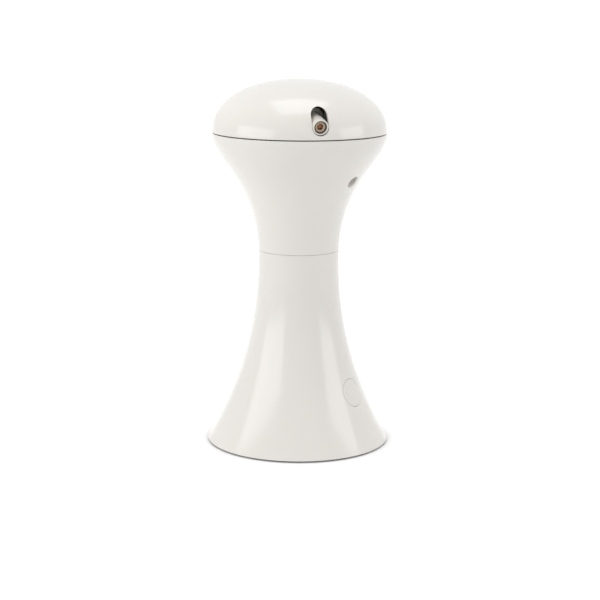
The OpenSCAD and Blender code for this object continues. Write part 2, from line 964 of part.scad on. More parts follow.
module rotor_hub() {
    color([0.90, 0.88, 0.80])
    difference() {
        union() {
            bar(journal_r, hub_bottom, thrust_z + 0.1);
            bar(bush_r - 0.1, thrust_z, hub_flange_top);
        }
        bar(hub_bore_r, hub_bottom - past, thrust_z);
        bar(stem_r + 2, thrust_z - past, hub_flange_top + past);
        around(3, hub_screw_ring_r, 30)
            screw_hole(thrust_z + 0.3, hub_flange_top + past);
    }
}

module hub_screws() {
    color(steel)
    around(3, hub_screw_ring_r, 30)
        screw(hub_flange_top + ledge_t, ledge_t + hub_flange_t - 0.5);
}

module lower_ring_gear() {
    color(inner_white)
    difference() {
        bar(lower_gear_r, lower_gear_bottom, lower_gear_top);
        translate([0, 0, lower_gear_bottom - past])
            linear_extrude(gear_w + past * 2)
                ring_spaces(lower_teeth);
        bar(journal_r, hub_bottom, lower_gear_top + past);
    }
}

module stem_brushes() {
    color(black)
    difference() {
        block(16, 13, hub_flange_top, hub_flange_top + brush_h);
        bar(stem_r + 0.35, hub_flange_top - past, hub_flange_top + brush_h + past);
    }
}

// A laser barrel along local Z, with its front at z = 0 and its back at z = -length
module barrel(length, radius) {
    difference() {
        bar(radius, -length, 0);
        bar(module_d / 2 + 0.02, -length - past, past);
        bar(lip_r, -lip_depth, past);
    }
}

// A laser module along local Z, with its front at z = 0
module laser_module() {
    difference() {
        bar(module_d / 2, -module_len, 0);
        bar(aperture_d / 2, -lens_depth - lens_t - 0.4, past);
    }
}

module laser_lens() {
    bar(aperture_d / 2, -lens_depth - lens_t, -lens_depth);
}

module in_lower_laser(depth = 0) {
    on_window_axis()
        translate([0, 0, window_depth + depth])
            mirror([0, 0, 1])
                children();
}

module lower_laser_barrel() {
    color(shell_white)
    in_lower_laser()
        barrel(lower_barrel_len, barrel_d / 2);
}

module lower_laser_module() {
    color(brass)
    in_lower_laser(lip_depth)
        laser_module();
}

module lower_laser_lens() {
    color([0.7, 0.2, 0.1])
    in_lower_laser(lip_depth)
        laser_lens();
}

module deck_plate() {
    color(inner_white)
    difference() {
        bar(deck_r, deck_bottom, deck_top);
        bar(spindle_bore_r, deck_bottom - past, deck_top + past);
        translate([0, upper_offset, 0])
            bar(shaft_d / 2 + 0.8, deck_bottom - past, deck_top + past);
        for (x = [-1, 1])
            translate([x * (motor_w / 2 - 1.7), upper_offset, 0])
                free_hole(deck_bottom - past, deck_top + past);
        around(3, deck_boss_ring_r, 90)
            free_hole(deck_bottom - past, deck_top + past);
        around(3, spindle_screw_ring_r, 30)
            screw_hole(deck_bottom - past, deck_top + past);
    }
}

module deck_screws() {
    color(steel) {
        around(3, deck_boss_ring_r, 90)
            screw(deck_top, 7);
        for (x = [-1, 1])
            translate([x * (motor_w / 2 - 1.7), upper_offset, 0])
                screw(deck_top, 5);
    }
}

module head_spindle() {
    color(inner_white)
    difference() {
        union() {
            bar(spindle_flange_r, deck_top, deck_top + spindle_flange_t);
            bar(spindle_boss_r, deck_top, spindle_boss_top);
            bar(spindle_r, deck_top, spindle_top);
        }
        bar(spindle_bore_r, deck_top - past, spindle_top + past);
        tube(spindle_r + past, groove_r, clip_z, clip_z + clip_t);
        around(3, spindle_screw_ring_r, 30)
            free_hole(deck_top - past, deck_top + spindle_flange_t + past);
    }
}

module spindle_screws() {
    color(steel)
    around(3, spindle_screw_ring_r, 30)
        screw(deck_top + spindle_flange_t, spindle_flange_t + deck_t);
}

module spindle_clip() {
    color(steel)
    difference() {
        tube(spindle_r + 1.8, groove_r, clip_z, clip_z + clip_t);
        translate([0, spindle_r, 0])
            block(8, spindle_r * 2, clip_z - past, clip_z + clip_t + past);
    }
}

module thrust_washer() {
    color(steel)
        tube(head_bush_r - 0.4, spindle_r + run_fit, spindle_boss_top, bush_foot);
}

module upper_gearbox() {
    color(brass)
        gearbox(upper_offset, deck_bottom);
}

module upper_motor() {
    color(steel)
        motor(upper_offset, deck_bottom);
}

module upper_motor_shaft() {
    color(steel)
        motor_shaft(upper_offset, deck_bottom, upper_shaft_top);
}

module upper_pinion() {
    color(inner_white)
        pinion(upper_offset, upper_gear_bottom - 0.3);
}

module track_brushes() {
    leaf_top = floor_bottom - track_t - 0.1;
    color(black)
    translate([-track_r, 0, 0]) {
        block(track_w, 12, deck_top, deck_top + 5);
        for (i = [-1:1])
            translate([i * track_w * 0.3, 0, 0])
                block(0.8, 5, deck_top + 4.5, leaf_top);
    }
}

// ---- Head ----

module head_dome() {
    color(shell_white)
    turned_head()
    difference() {
        union() {
            difference() {
                dome_solid(0, dome_bottom);
                dome_solid(wall, dome_bottom - past);
            }
            intersection() {
                dome_solid(skin, dome_bottom);
                around(3, dome_boss_ring_r, 90)
                    bar(dome_boss_r, floor_top, floor_top + dome_boss_h);
            }
        }
        around(3, dome_boss_ring_r, 90)
            screw_hole(floor_top - past, floor_bottom + long_screw + 1.8);
        // The slot, cut straight in from the front
        translate([0, -tilt_r, slot_low + slot_w / 2])
            rotate([90, 0, 0]) {
                cylinder(r = slot_w / 2, h = head_r);
                translate([0, slot_h - slot_w, 0])
                    cylinder(r = slot_w / 2, h = head_r);
                translate([-slot_w / 2, 0, 0])
                    cube([slot_w, slot_h - slot_w, head_r]);
            }
    }
}

module head_floor() {
    color(inner_white)
    turned_head()
    difference() {
        union() {
            bar(head_r - wall - 0.3, floor_bottom, floor_top);
            bar(head_hub_r, bush_foot + 1.5, floor_top);
            for (x = [-1, 1])
                translate([x * driver_post_x, driver_r, 0])
                    bar(2.2, floor_top - 0.5, floor_top + driver_lift);
        }
        bar(head_bush_r, bush_foot, floor_top + past);
        around(4, gear_screw_ring_r, 45)
            free_hole(floor_bottom - past, floor_top + past);
        around(3, dome_boss_ring_r, 90)
            free_hole(floor_bottom - past, floor_top + past);
        for (x = [-1, 1])
            translate([x * bracket_screw_x, -tilt_r, 0])
                screw_hole(floor_bottom - past, floor_top + past);
    }
}

module dome_screws() {
    color(steel)
    turned_head()
    around(3, dome_boss_ring_r, 90)
        translate([0, 0, floor_bottom])
            mirror([0, 0, 1])
                screw(0, long_screw);
}

module upper_ring_gear() {
    color(inner_white)
    difference() {
        bar(upper_gear_r, upper_gear_bottom, floor_bottom);
        translate([0, 0, upper_gear_bottom - past])
            linear_extrude(gear_w + past)
                ring_spaces(upper_teeth);
        bar(upper_pitch_r - ring_tip, upper_gear_bottom - past, floor_bottom + past);
        turned_head()
        around(4, gear_screw_ring_r, 45)
            screw_hole(floor_bottom - 5, floor_bottom + past);
    }
}

module gear_screws() {
    color(steel)
    turned_head()
    around(4, gear_screw_ring_r, 45)
        screw(floor_top, 6);
}

module head_bush() {
    color([0.92, 0.90, 0.80])
        tube(head_bush_r, spindle_r + run_fit, bush_foot, head_bush_top);
}

module track_disc() {
    color(board_green)
        tube(track_out_r, track_in_r, floor_bottom - track_t, floor_bottom);
}

module tilt_bracket() {
    top = tilt_z + 4;
    color(inner_white)
    turned_head()
    difference() {
        translate([0, -tilt_r, 0])
            union() {
                block(bracket_screw_x * 2 + 5, cheek_w, floor_top, floor_top + bracket_t);
                for (side = [-1, 1])
                    translate([side * (cheek_in + cheek_t / 2), 0, 0])
                        block(cheek_t, cheek_w, floor_top, top);
            }
        translate([0, -tilt_r, tilt_z])
            rotate([0, 90, 0])
                cylinder(r = stub_r + run_fit, h = (cheek_in + cheek_t + past) * 2, center = true);
        for (x = [-1, 1])
            translate([x * bracket_screw_x, -tilt_r, 0])
                free_hole(floor_top - past, floor_top + bracket_t + past);
    }
}

module bracket_screws() {
    color(steel)
    turned_head()
    for (x = [-1, 1])
        translate([x * bracket_screw_x, -tilt_r, 0])
            screw(floor_top + bracket_t, bracket_t + floor_t);
}

module tilt_washers() {
    color(steel)
    turned_head()
    for (side = [-1, 1])
        translate([side * (cheek_in + collar_r) / 2, -tilt_r, tilt_z])
            rotate([0, 90, 0])
                difference() {
                    cylinder(r = 3.4, h = cheek_in - collar_r - washer_gap * 2, center = true);
                    cylinder(r = stub_r + run_fit, h = 4, center = true);
                }
}

module driver_board() {
    bottom = floor_top + driver_lift;
    color(board_green)
    turned_head()
    translate([0, driver_r, 0]) {
        block(driver_w, driver_l, bottom, bottom + board_t);
        translate([-4, 1, 0])
            block(6, 5, bottom + board_t, bottom + board_t + 1.6);
        translate([6, 0, 0])
            bar(2.5, bottom + board_t, bottom + board_t + 5);
    }
}

// ---- Tilting laser ----

module in_upper_laser(reach) {
    turned_head()
        on_tilt_axis()
            translate([0, 0, reach])
                children();
}

module upper_laser_barrel() {
    color(shell_white)
    in_upper_laser(barrel_front)
        barrel(barrel_front + barrel_back, barrel_d / 2);
}

module trunnion_collar() {
    color(inner_white)
    in_upper_laser(0)
        difference() {
            union() {
                intersection() {
                    bar(collar_r + 0.5, -collar_len / 2, collar_len / 2);
                    block(collar_r * 2, collar_r * 2 + 2, -collar_len / 2, collar_len / 2);
                }
                translate([-cheek_in - cheek_t - 0.3, 0, 0])
                    rotate([0, 90, 0])
                        cylinder(r = stub_r, h = (cheek_in + cheek_t + 0.3) * 2);
            }
            bar(barrel_d / 2, -collar_len, collar_len);
        }
}

module upper_laser_module() {
    color(brass)
    in_upper_laser(barrel_front - lip_depth)
        laser_module();
}

module upper_laser_lens() {
    color([0.7, 0.2, 0.1])
    in_upper_laser(barrel_front - lip_depth)
        laser_lens();
}

lower_shell();
base_plate();
rubber_feet();
base_screws();
battery_cover();
battery_tray();
tray_screws();
aa_cells();
spring_contacts();
flat_contacts();
main_board();
board_parts();
button_cap();
switch_plunger();
switch_board();
tact_switch();
motor_frame();
frame_screws();
lower_gearbox();
lower_motor();
lower_motor_shaft();
lower_pinion();
neck_bush();
contact_stem();
contact_bands();
middle_shell();
rotor_hub();
hub_screws();
lower_ring_gear();
stem_brushes();
lower_laser_barrel();
lower_laser_module();
lower_laser_lens();
deck_plate();
deck_screws();
head_spindle();
spindle_screws();
spindle_clip();
thrust_washer();
upper_gearbox();
upper_motor();
upper_motor_shaft();
upper_pinion();
track_brushes();
head_dome();
head_floor();
dome_screws();
upper_ring_gear();
gear_screws();
head_bush();
track_disc();
tilt_bracket();
bracket_screws();
tilt_washers();
driver_board();
upper_laser_barrel();
trunnion_collar();
upper_laser_module();
upper_laser_lens();
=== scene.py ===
"""Looks of the automatic laser toy for cats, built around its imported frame."""

import json
import logging
import math
from collections.abc import Callable, Sequence
from dataclasses import dataclass, field
from enum import Enum

import bmesh
import bpy
from mathutils import Matrix, Vector


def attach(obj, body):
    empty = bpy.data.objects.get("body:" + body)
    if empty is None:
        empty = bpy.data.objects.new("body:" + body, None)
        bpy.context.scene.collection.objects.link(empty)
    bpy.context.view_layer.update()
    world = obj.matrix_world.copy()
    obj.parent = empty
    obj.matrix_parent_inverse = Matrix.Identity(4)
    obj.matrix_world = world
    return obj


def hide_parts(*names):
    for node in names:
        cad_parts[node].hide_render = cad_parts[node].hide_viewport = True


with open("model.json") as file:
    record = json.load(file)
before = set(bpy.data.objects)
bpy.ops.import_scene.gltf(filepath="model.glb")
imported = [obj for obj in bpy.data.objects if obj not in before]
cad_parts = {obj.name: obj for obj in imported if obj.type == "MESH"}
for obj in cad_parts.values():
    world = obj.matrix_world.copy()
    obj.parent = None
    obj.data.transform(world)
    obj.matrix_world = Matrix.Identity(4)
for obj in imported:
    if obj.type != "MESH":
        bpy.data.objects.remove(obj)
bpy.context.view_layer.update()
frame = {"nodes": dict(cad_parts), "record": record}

log = logging.getLogger("cat_laser_toy")

MM = 0.001
TINY = 1e-6
HALVINGS = 40
WALL = 2.2
BARREL_R = 4.6
HEAD_YAW = -43.8
Z_AXIS = Vector((0.0, 0.0, 1.0))
Rgb = tuple[float, float, float]
Rgb4 = tuple[float, float, float, float]
Point2 = tuple[float, float]
Piece = bpy.types.Object
Socket = bpy.types.NodeSocket


def halve(low: float, high: float, is_past: Callable[[float], bool]) -> float:
    """Finds where a condition starts to hold, by halving.

    Args:
        low: A value at which it doesn't hold.
        high: A value at which it holds.
        is_past: The condition.

    Returns:
        The value between the two.
    """
    for _ in range(HALVINGS):
        middle = (low + high) / 2
        if is_past(middle):
            high = middle
        else:
            low = middle
    return (low + high) / 2


# ---- Outlines of the shells, in millimetres ----


@dataclass(frozen=True)
class BellOutline:
    """The base's outside: a bell that sweeps out from the neck to the foot."""

    foot_r: float = 56.3
    neck_r: float = 24.5
    neck_z: float = 115.0
    curve: float = 2.13

    def radius(self, z: float) -> float:
        """Outside radius at a height above the floor."""
        rise = max(self.neck_z - z, 0.0) / self.neck_z
        return self.neck_r + (self.foot_r - self.neck_r) * rise**self.curve


@dataclass(frozen=True)
class FlareOutline:
    """The middle's outside: one Bezier curve from the neck to the head's seam."""

    neck_r: float = 24.5
    neck_z: float = 115.0
    low_reach: float = 46.0
    top_r: float = 52.5
    top_z: float = 189.375
    high_reach: float = 17.0

    def place(self, t: float) -> Point2:
        """Radius and height at a share of the curve.

        Args:
            t: Share of the curve, from 0 at the neck to 1 at the top.

        Returns:
            The radius and the height.
        """
        s = 1.0 - t
        ends = (s**3, 3 * t * s * s, 3 * t * t * s, t**3)
        radii = (self.neck_r, self.neck_r, self.top_r, self.top_r)
        heights = (
            self.neck_z,
            self.neck_z + self.low_reach,
            self.top_z - self.high_reach,
            self.top_z,
        )
        return (
            sum(w * r for w, r in zip(ends, radii)),
            sum(w * z for w, z in zip(ends, heights)),
        )

    def share(self, z: float) -> float:
        """Share of the curve at a height above the floor."""
        return halve(0.0, 1.0, lambda t: self.place(t)[1] >= z)

    def radius(self, z: float) -> float:
        """Radius at a height, as for the bell."""
        return self.place(self.share(z))[0]


@dataclass(frozen=True)
class DomeOutline:
    """The head's outside: a flattened dome, a little squarer than an ellipse."""

    radius_at_edge: float = 52.5
    bottom: float = 190.025
    lift: float = 0.05
    height: float = 31.5
    curve: float = 2.13
    flat_from: float = 25.0
    slack: float = 5e-4

    def rise(self, z: float) -> float:
        """Share of the dome's height, from 0 at its edge to 1 at its top."""
        share = (z - self.bottom - self.lift) / (self.height - self.lift)
        return min(max(share, 0.0), 1.0)

    def radius(self, z: float) -> float:
        """Radius at a height, as for the bell."""
        return self.radius_at_edge * (1.0 - self.rise(z) ** self.curve) ** (1.0 / self.curve)

    def has_on_top(self, point: Vector) -> bool:
        """Tells whether a point lies on the outside, near the flat top.

        Args:
            point: The point, in millimetres.

        Returns:
            True if it is high up and meets the outline's own equation.
        """
        span = math.hypot(point.x, point.y) / self.radius_at_edge
        off = span**self.curve + self.rise(point.z) ** self.curve - 1.0
        return point.z > self.bottom + self.flat_from and abs(off) < self.slack

    def place(self, angle: float, inset: float = 0.0) -> Point2:
        """Radius and height at an angle above the edge.

        Args:
            angle: From 0 at the edge to a quarter turn at the top.
            inset: How far inside the dome's outside, all over.

        Returns:
            The radius and the height.
        """
        power = 2.0 / self.curve
        across = max(math.cos(angle), 0.0) ** power
        up = max(math.sin(angle), 0.0) ** power
        return (
            (self.radius_at_edge - inset) * across,
            self.bottom + self.lift + (self.height - self.lift - inset) * up,
        )


Outline = BellOutline | FlareOutline | DomeOutline

BELL = BellOutline()
FLARE = FlareOutline()
DOME = DomeOutline()


def outward(outline: Outline, point: Vector) -> Vector:
    """The outside's true direction at a point of a shell.

    Args:
        outline: The shell's outline.
        point: A point on the outside, in millimetres.

    Returns:
        The unit normal.
    """
    reach = math.hypot(point.x, point.y)
    if reach < TINY:
        return Z_AXIS.copy()
    if isinstance(outline, DomeOutline):
        power = outline.curve - 1.0
        along = (reach / outline.radius_at_edge) ** power / outline.radius_at_edge
        up = outline.rise(point.z) ** power / (outline.height - outline.lift)
    else:
        step = 0.02
        fall = outline.radius(point.z + step) - outline.radius(point.z - step)
        along, up = 1.0, -fall / (2 * step)
    return Vector((along * point.x / reach, along * point.y / reach, up)).normalized()


# ---- Meshes ----


def add_object(name: str, data: bpy.types.ID) -> Piece:
    """Adds an object to the scene.

    Args:
        name: Its name.
        data: Its mesh, lamp or camera.

    Returns:
        The object.
    """
    made = bpy.data.objects.new(name, data)
    bpy.context.scene.collection.objects.link(made)
    return made


def make_piece(
    name: str, points: Sequence[Vector], faces: Sequence[Sequence[int]]
) -> Piece:
    """Makes an object from points in millimetres.

    Args:
        name: The piece's name.
        points: The corners.
        faces: The faces, as indices into the points.

    Returns:
        The new object, with its faces turned outwards.
    """
    mesh = bpy.data.meshes.new(name)
    mesh.from_pydata([tuple(p * MM) for p in points], [], [list(f) for f in faces])
    shape = bmesh.new()
    shape.from_mesh(mesh)
    bmesh.ops.recalc_face_normals(shape, faces=shape.faces)
    shape.to_mesh(mesh)
    shape.free()
    return add_object(name, mesh)


def rounded(corners: Sequence[tuple[float, float, float]], steps: int = 5) -> list[Point2]:
    """Rounds the corners of a profile.

    Args:
        corners: Radius, height and rounding of each corner, in order.
        steps: Number of short edges in a rounding.

    Returns:
        The profile's points.
    """
    made: list[Point2] = []
    count = len(corners)
    most = 0.49
    for i, (r, z, size) in enumerate(corners):
        if size <= 0.0:
            made.append((r, z))
            continue
        here = Vector((r, z))
        before = Vector(corners[i - 1][:2]) - here
        after = Vector(corners[(i + 1) % count][:2]) - here
        start = here + before.normalized() * min(size, before.length * most)
        end = here + after.normalized() * min(size, after.length * most)
        for k in range(steps + 1):
            t = k / steps
            spot = start * (1 - t) ** 2 + here * 2 * t * (1 - t) + end * t * t
            made.append((spot.x, spot.y))
    return made


def wall_profile(
    outer: Sequence[Point2], wall: float, first_edge: float, last_edge: float
) -> list[Point2]:
    """The profile of an open shell that follows an outline.

    Args:
        outer: Points of its outside, in order.
        wall: Its thickness, level with the floor.
        first_edge: Rounding of the two corners at the outside's first point.
        last_edge: Rounding of the two corners at its last point.

    Returns:
        The closed profile.
    """
    inner = [(r - wall, z) for r, z in reversed(outer[::2])]
    sizes = [0.0] * (len(outer) + len(inner))
    sizes[0] = sizes[-1] = first_edge
    sizes[len(outer) - 1] = sizes[len(outer)] = last_edge
    return rounded([(r, z, size) for (r, z), size in zip([*outer, *inner], sizes)])


def lathe(
    name: str,
    profile: Sequence[Point2],
    segments: int = 96,
    place: Matrix | None = None,
) -> Piece:
    """Turns a closed profile round the Z axis.

    Args:
        name: The piece's name.
        profile: Radius and height of each point. A point on the axis closes that end.
        segments: Number of steps round the axis.
        place: Where the turned form goes, in millimetres.

    Returns:
        The closed solid.
    """
    place = place or Matrix.Identity(4)
    points: list[Vector] = []
    rings: list[list[int]] = []
    for r, z in profile:
        if r < TINY:
            rings.append([len(points)])
            points.append(place @ Vector((0.0, 0.0, z)))
            continue
        rings.append([len(points) + k for k in range(segments)])
        for k in range(segments):
            turn = math.tau * k / segments
            points.append(place @ Vector((r * math.cos(turn), r * math.sin(turn), z)))
    faces: list[list[int]] = []
    for i, low in enumerate(rings):
        high = rings[(i + 1) % len(rings)]
        if len(low) == 1 and len(high) == 1:
            continue
        for k in range(segments):
            n = (k + 1) % segments
            if len(low) == 1:
                faces.append([low[0], high[n], high[k]])
            elif len(high) == 1:
                faces.append([low[k], low[n], high[0]])
            else:
                faces.append([low[k], low[n], high[n], high[k]])
    return make_piece(name, points, faces)


def soften(piece: Piece, limit: float = 35.0) -> None:
    """Shades a piece smooth, apart from its sharp edges.

    Args:
        piece: The piece.
        limit: Edges that turn by more than this angle, in degrees, stay sharp.
    """
    shape = bmesh.new()
    shape.from_mesh(piece.data)
    for face in shape.faces:
        face.smooth = True
    for edge in shape.edges:
        edge.smooth = (
            len(edge.link_faces) == 2 and edge.calc_face_angle(0.0) < math.radians(limit)
        )
    shape.to_mesh(piece.data)
    shape.free()


def true_normals(
    piece: Piece, outline: Outline, limit: float = 35.0, reach: float = 0.009
) -> None:
    """Gives a shell the exact shading of its outline, also round what is cut into it.

    Args:
        piece: The shell.
        outline: The outline that its outside follows.
        limit: Faces that lean further than this from the outline, in degrees, keep
            a normal of their own.
        reach: How near a point lies to the outline to be on it, in millimetres.
    """
    soften(piece, limit)
    mesh = piece.data
    spread = math.cos(math.radians(limit))
    on_outline: dict[int, Vector] = {}
    for vertex in mesh.vertices:
        spot = vertex.co / MM
        if abs(math.hypot(spot.x, spot.y) - outline.radius(spot.z)) < reach:
            on_outline[vertex.index] = outward(outline, spot)
        elif isinstance(outline, DomeOutline) and outline.has_on_top(spot):
            on_outline[vertex.index] = outward(outline, spot)
    around: dict[int, list[int]] = {}
    for face in mesh.polygons:
        for corner in face.vertices:
            around.setdefault(corner, []).append(face.index)
    normals = [Z_AXIS] * len(mesh.loops)
    for face in mesh.polygons:
        own = face.normal
        for loop in face.loop_indices:
            corner = mesh.loops[loop].vertex_index
            exact = on_outline.get(corner)
            if exact is not None and exact.dot(own) > spread:
                normals[loop] = exact
                continue
            total = Vector((0.0, 0.0, 0.0))
            for other in around[corner]:
                near = mesh.polygons[other]
                if near.normal.dot(own) > spread:
                    total += near.normal * near.area
            normals[loop] = total.normalized() if total.length > 0 else own.copy()
    mesh.normals_split_custom_set(normals)


class Way(Enum):
    """The ways to combine two solids."""

    CUT = "DIFFERENCE"
    ADD = "UNION"


def combine(piece: Piece, other: Piece, way: Way) -> None:
    """Cuts one solid out of another, or joins them into one.

    Args:
        piece: The solid that stays, and gets the result.
        other: The solid that is used up.
        way: Whether it is cut out or added.
    """
    step = piece.modifiers.new("combine", "BOOLEAN")
    step.operation = way.value
    step.solver = "EXACT"
    step.object = other
    depsgraph = bpy.context.evaluated_depsgraph_get()
    result = bpy.data.meshes.new_from_object(piece.evaluated_get(depsgraph))
    piece.modifiers.clear()
    old = piece.data
    piece.data = result
    result.name = piece.name
    bpy.data.meshes.remove(old)
    bpy.data.meshes.remove(other.data)


def join(pieces: Sequence[Piece]) -> Piece:
    """Joins pieces into the first of them.

    Args:
        pieces: The pieces, of one finish.

    Returns:
        The first piece, with all their meshes.
    """
    shape = bmesh.new()
    for piece in pieces:
        shape.from_mesh(piece.data)
    shape.to_mesh(pieces[0].data)
    shape.free()
    for piece in pieces[1:]:
        bpy.data.meshes.remove(piece.data)
    return pieces[0]


@dataclass(frozen=True)
class Round:
    """A round opening."""

    radius: float

    def ring(self, grow: float, count: int) -> list[Point2]:
        """The opening's edge.

        Args:
            grow: How far outside the edge the ring runs.
            count: Number of points.

        Returns:
            The points, anticlockwise.
        """
        r = self.radius + grow
        turns = [math.tau * k / count for k in range(count)]
        return [(r * math.cos(a), r * math.sin(a)) for a in turns]


@dataclass(frozen=True)
class Upright:
    """An upright opening with round ends."""

    width: float
    height: float

    def ring(self, grow: float, count: int) -> list[Point2]:
        """The opening's edge.

        Args:
            grow: How far outside the edge the ring runs.
            count: Number of points, a multiple of 8.

        Returns:
            The points, anticlockwise.
        """
        r = self.width / 2
        straight = self.height - self.width
        arc = count * 3 // 8
        side = count // 8
        made: list[Point2] = []
        for turn, lift in ((0.0, straight / 2), (math.pi, -straight / 2)):
            for k in range(arc + 1):
                a = turn + math.pi * k / arc
                made.append(((r + grow) * math.cos(a), lift + (r + grow) * math.sin(a)))
            x = -(r + grow) if turn == 0.0 else r + grow
            for k in range(1, side):
                made.append((x, lift - 2 * lift * k / side))
        return made


@dataclass(frozen=True)
class Bore:
    """A way straight into a shell: a point on the outline, and the direction inwards."""

    outline: Outline
    start: Vector
    inwards: Vector
    shallowest: float = -8.0
    deepest: float = 14.0

    @property
    def right(self) -> Vector:
        """The bore's own X direction, level with the floor."""
        return self.inwards.cross(Z_AXIS).normalized()

    @property
    def up(self) -> Vector:
        """The bore's own Y direction."""
        return self.right.cross(self.inwards).normalized()

    def spot(self, u: float, v: float, depth: float) -> Vector:
        """A point at distances to the right of, above and inwards from the start."""
        return self.start + self.right * u + self.up * v + self.inwards * depth

    def is_inside(self, u: float, v: float, depth: float) -> bool:
        """Tells whether a point of the bore is inside the outline."""
        spot = self.spot(u, v, depth)
        return math.hypot(spot.x, spot.y) <= self.outline.radius(spot.z)

    def depth(self, u: float, v: float) -> float:
        """Depth at which a line beside the axis meets the outline."""
        return halve(self.shallowest, self.deepest, lambda deep: self.is_inside(u, v, deep))

    def along(self, edge: Sequence[Point2], sink: float) -> list[Vector]:
        """Lays a ring along the outline, at a depth inside it."""
        return [self.spot(u, v, self.depth(u, v) + sink) for u, v in edge]

    def across(self, edge: Sequence[Point2], depth: float) -> list[Vector]:
        """Lays a ring square to the axis, at a depth from the start."""
        return [self.spot(u, v, depth) for u, v in edge]


def bore_at(outline: Outline, height: float) -> Bore:
    """The bore that is square to an outline at a height, on the toy's -Y side."""
    start = Vector((0.0, -outline.radius(height), height))
    return Bore(outline, start, -outward(outline, start))


def quarter(size: float, steps: int) -> list[Point2]:
    """Growth and depth of each step round a quarter circle, from a face into a hole."""
    turns = [math.pi / 2 * k / steps for k in range(steps + 1)]
    return [(size * (1 - math.sin(a)), size * (1 - math.cos(a))) for a in turns]


def lipped_cutter(
    bore: Bore,
    opening: Round | Upright,
    lip: float,
    inner: Sequence[tuple[float, float]],
    count: int = 96,
) -> Piece:
    """The solid that an opening with a rounded lip is cut with.

    Args:
        bore: The opening's axis.
        opening: The opening's shape.
        lip: Rounding of the lip.
        inner: Growth and depth of the further rings, in order inwards.
        count: Number of points round the opening.

    Returns:
        The cutter.
    """
    outside = 3.0
    rings = [bore.along(opening.ring(lip, count), -outside)]
    for grow, sink in quarter(lip, 6):
        rings.append(bore.along(opening.ring(grow, count), sink))
    for grow, depth in inner:
        rings.append(bore.across(opening.ring(grow, count), depth))
    points = [p for ring in rings for p in ring]
    size = len(rings[0])
    faces: list[list[int]] = [list(range(size))]
    faces.append(list(range((len(rings) - 1) * size, len(rings) * size)))
    for i in range(len(rings) - 1):
        for k in range(size):
            n = (k + 1) % size
            low, high = i * size, (i + 1) * size
            faces.append([low + k, low + n, high + n, high + k])
    return make_piece("cutter", points, faces)


# ---- Finishes ----


class Tree:
    """The nodes of a material or of the world, with a short way to add more."""

    def __init__(self, owner: bpy.types.Material | bpy.types.World) -> None:
        """Starts on the owner's own nodes.

        Args:
            owner: The material or the world.
        """
        owner.use_nodes = True
        self.nodes = owner.node_tree.nodes
        self.links = owner.node_tree.links

    def add(
        self, kind: str, values: dict[str, float | Rgb4], **fed: Socket
    ) -> bpy.types.Node:
        """Adds a node.

        Args:
            kind: Its type, without the ShaderNode in front.
            values: What its own sockets are set to.
            fed: The values that are joined to its sockets.

        Returns:
            The node.
        """
        node = self.nodes.new(f"ShaderNode{kind}")
        for socket, value in values.items():
            node.inputs[socket].default_value = value
        for socket, source in fed.items():
            self.links.new(source, node.inputs[socket])
        return node

    def work_out(self, operation: str, first: Socket, second: Socket | float) -> Socket:
        """Works a value out from two others.

        Args:
            operation: What is done with them.
            first: The first value.
            second: The second value.

        Returns:
            The new value.
        """
        node = self.nodes.new("ShaderNodeMath")
        node.operation = operation
        self.links.new(first, node.inputs[0])
        if isinstance(second, float):
            node.inputs[1].default_value = second
        else:
            self.links.new(second, node.inputs[1])
        return node.outputs["Value"]


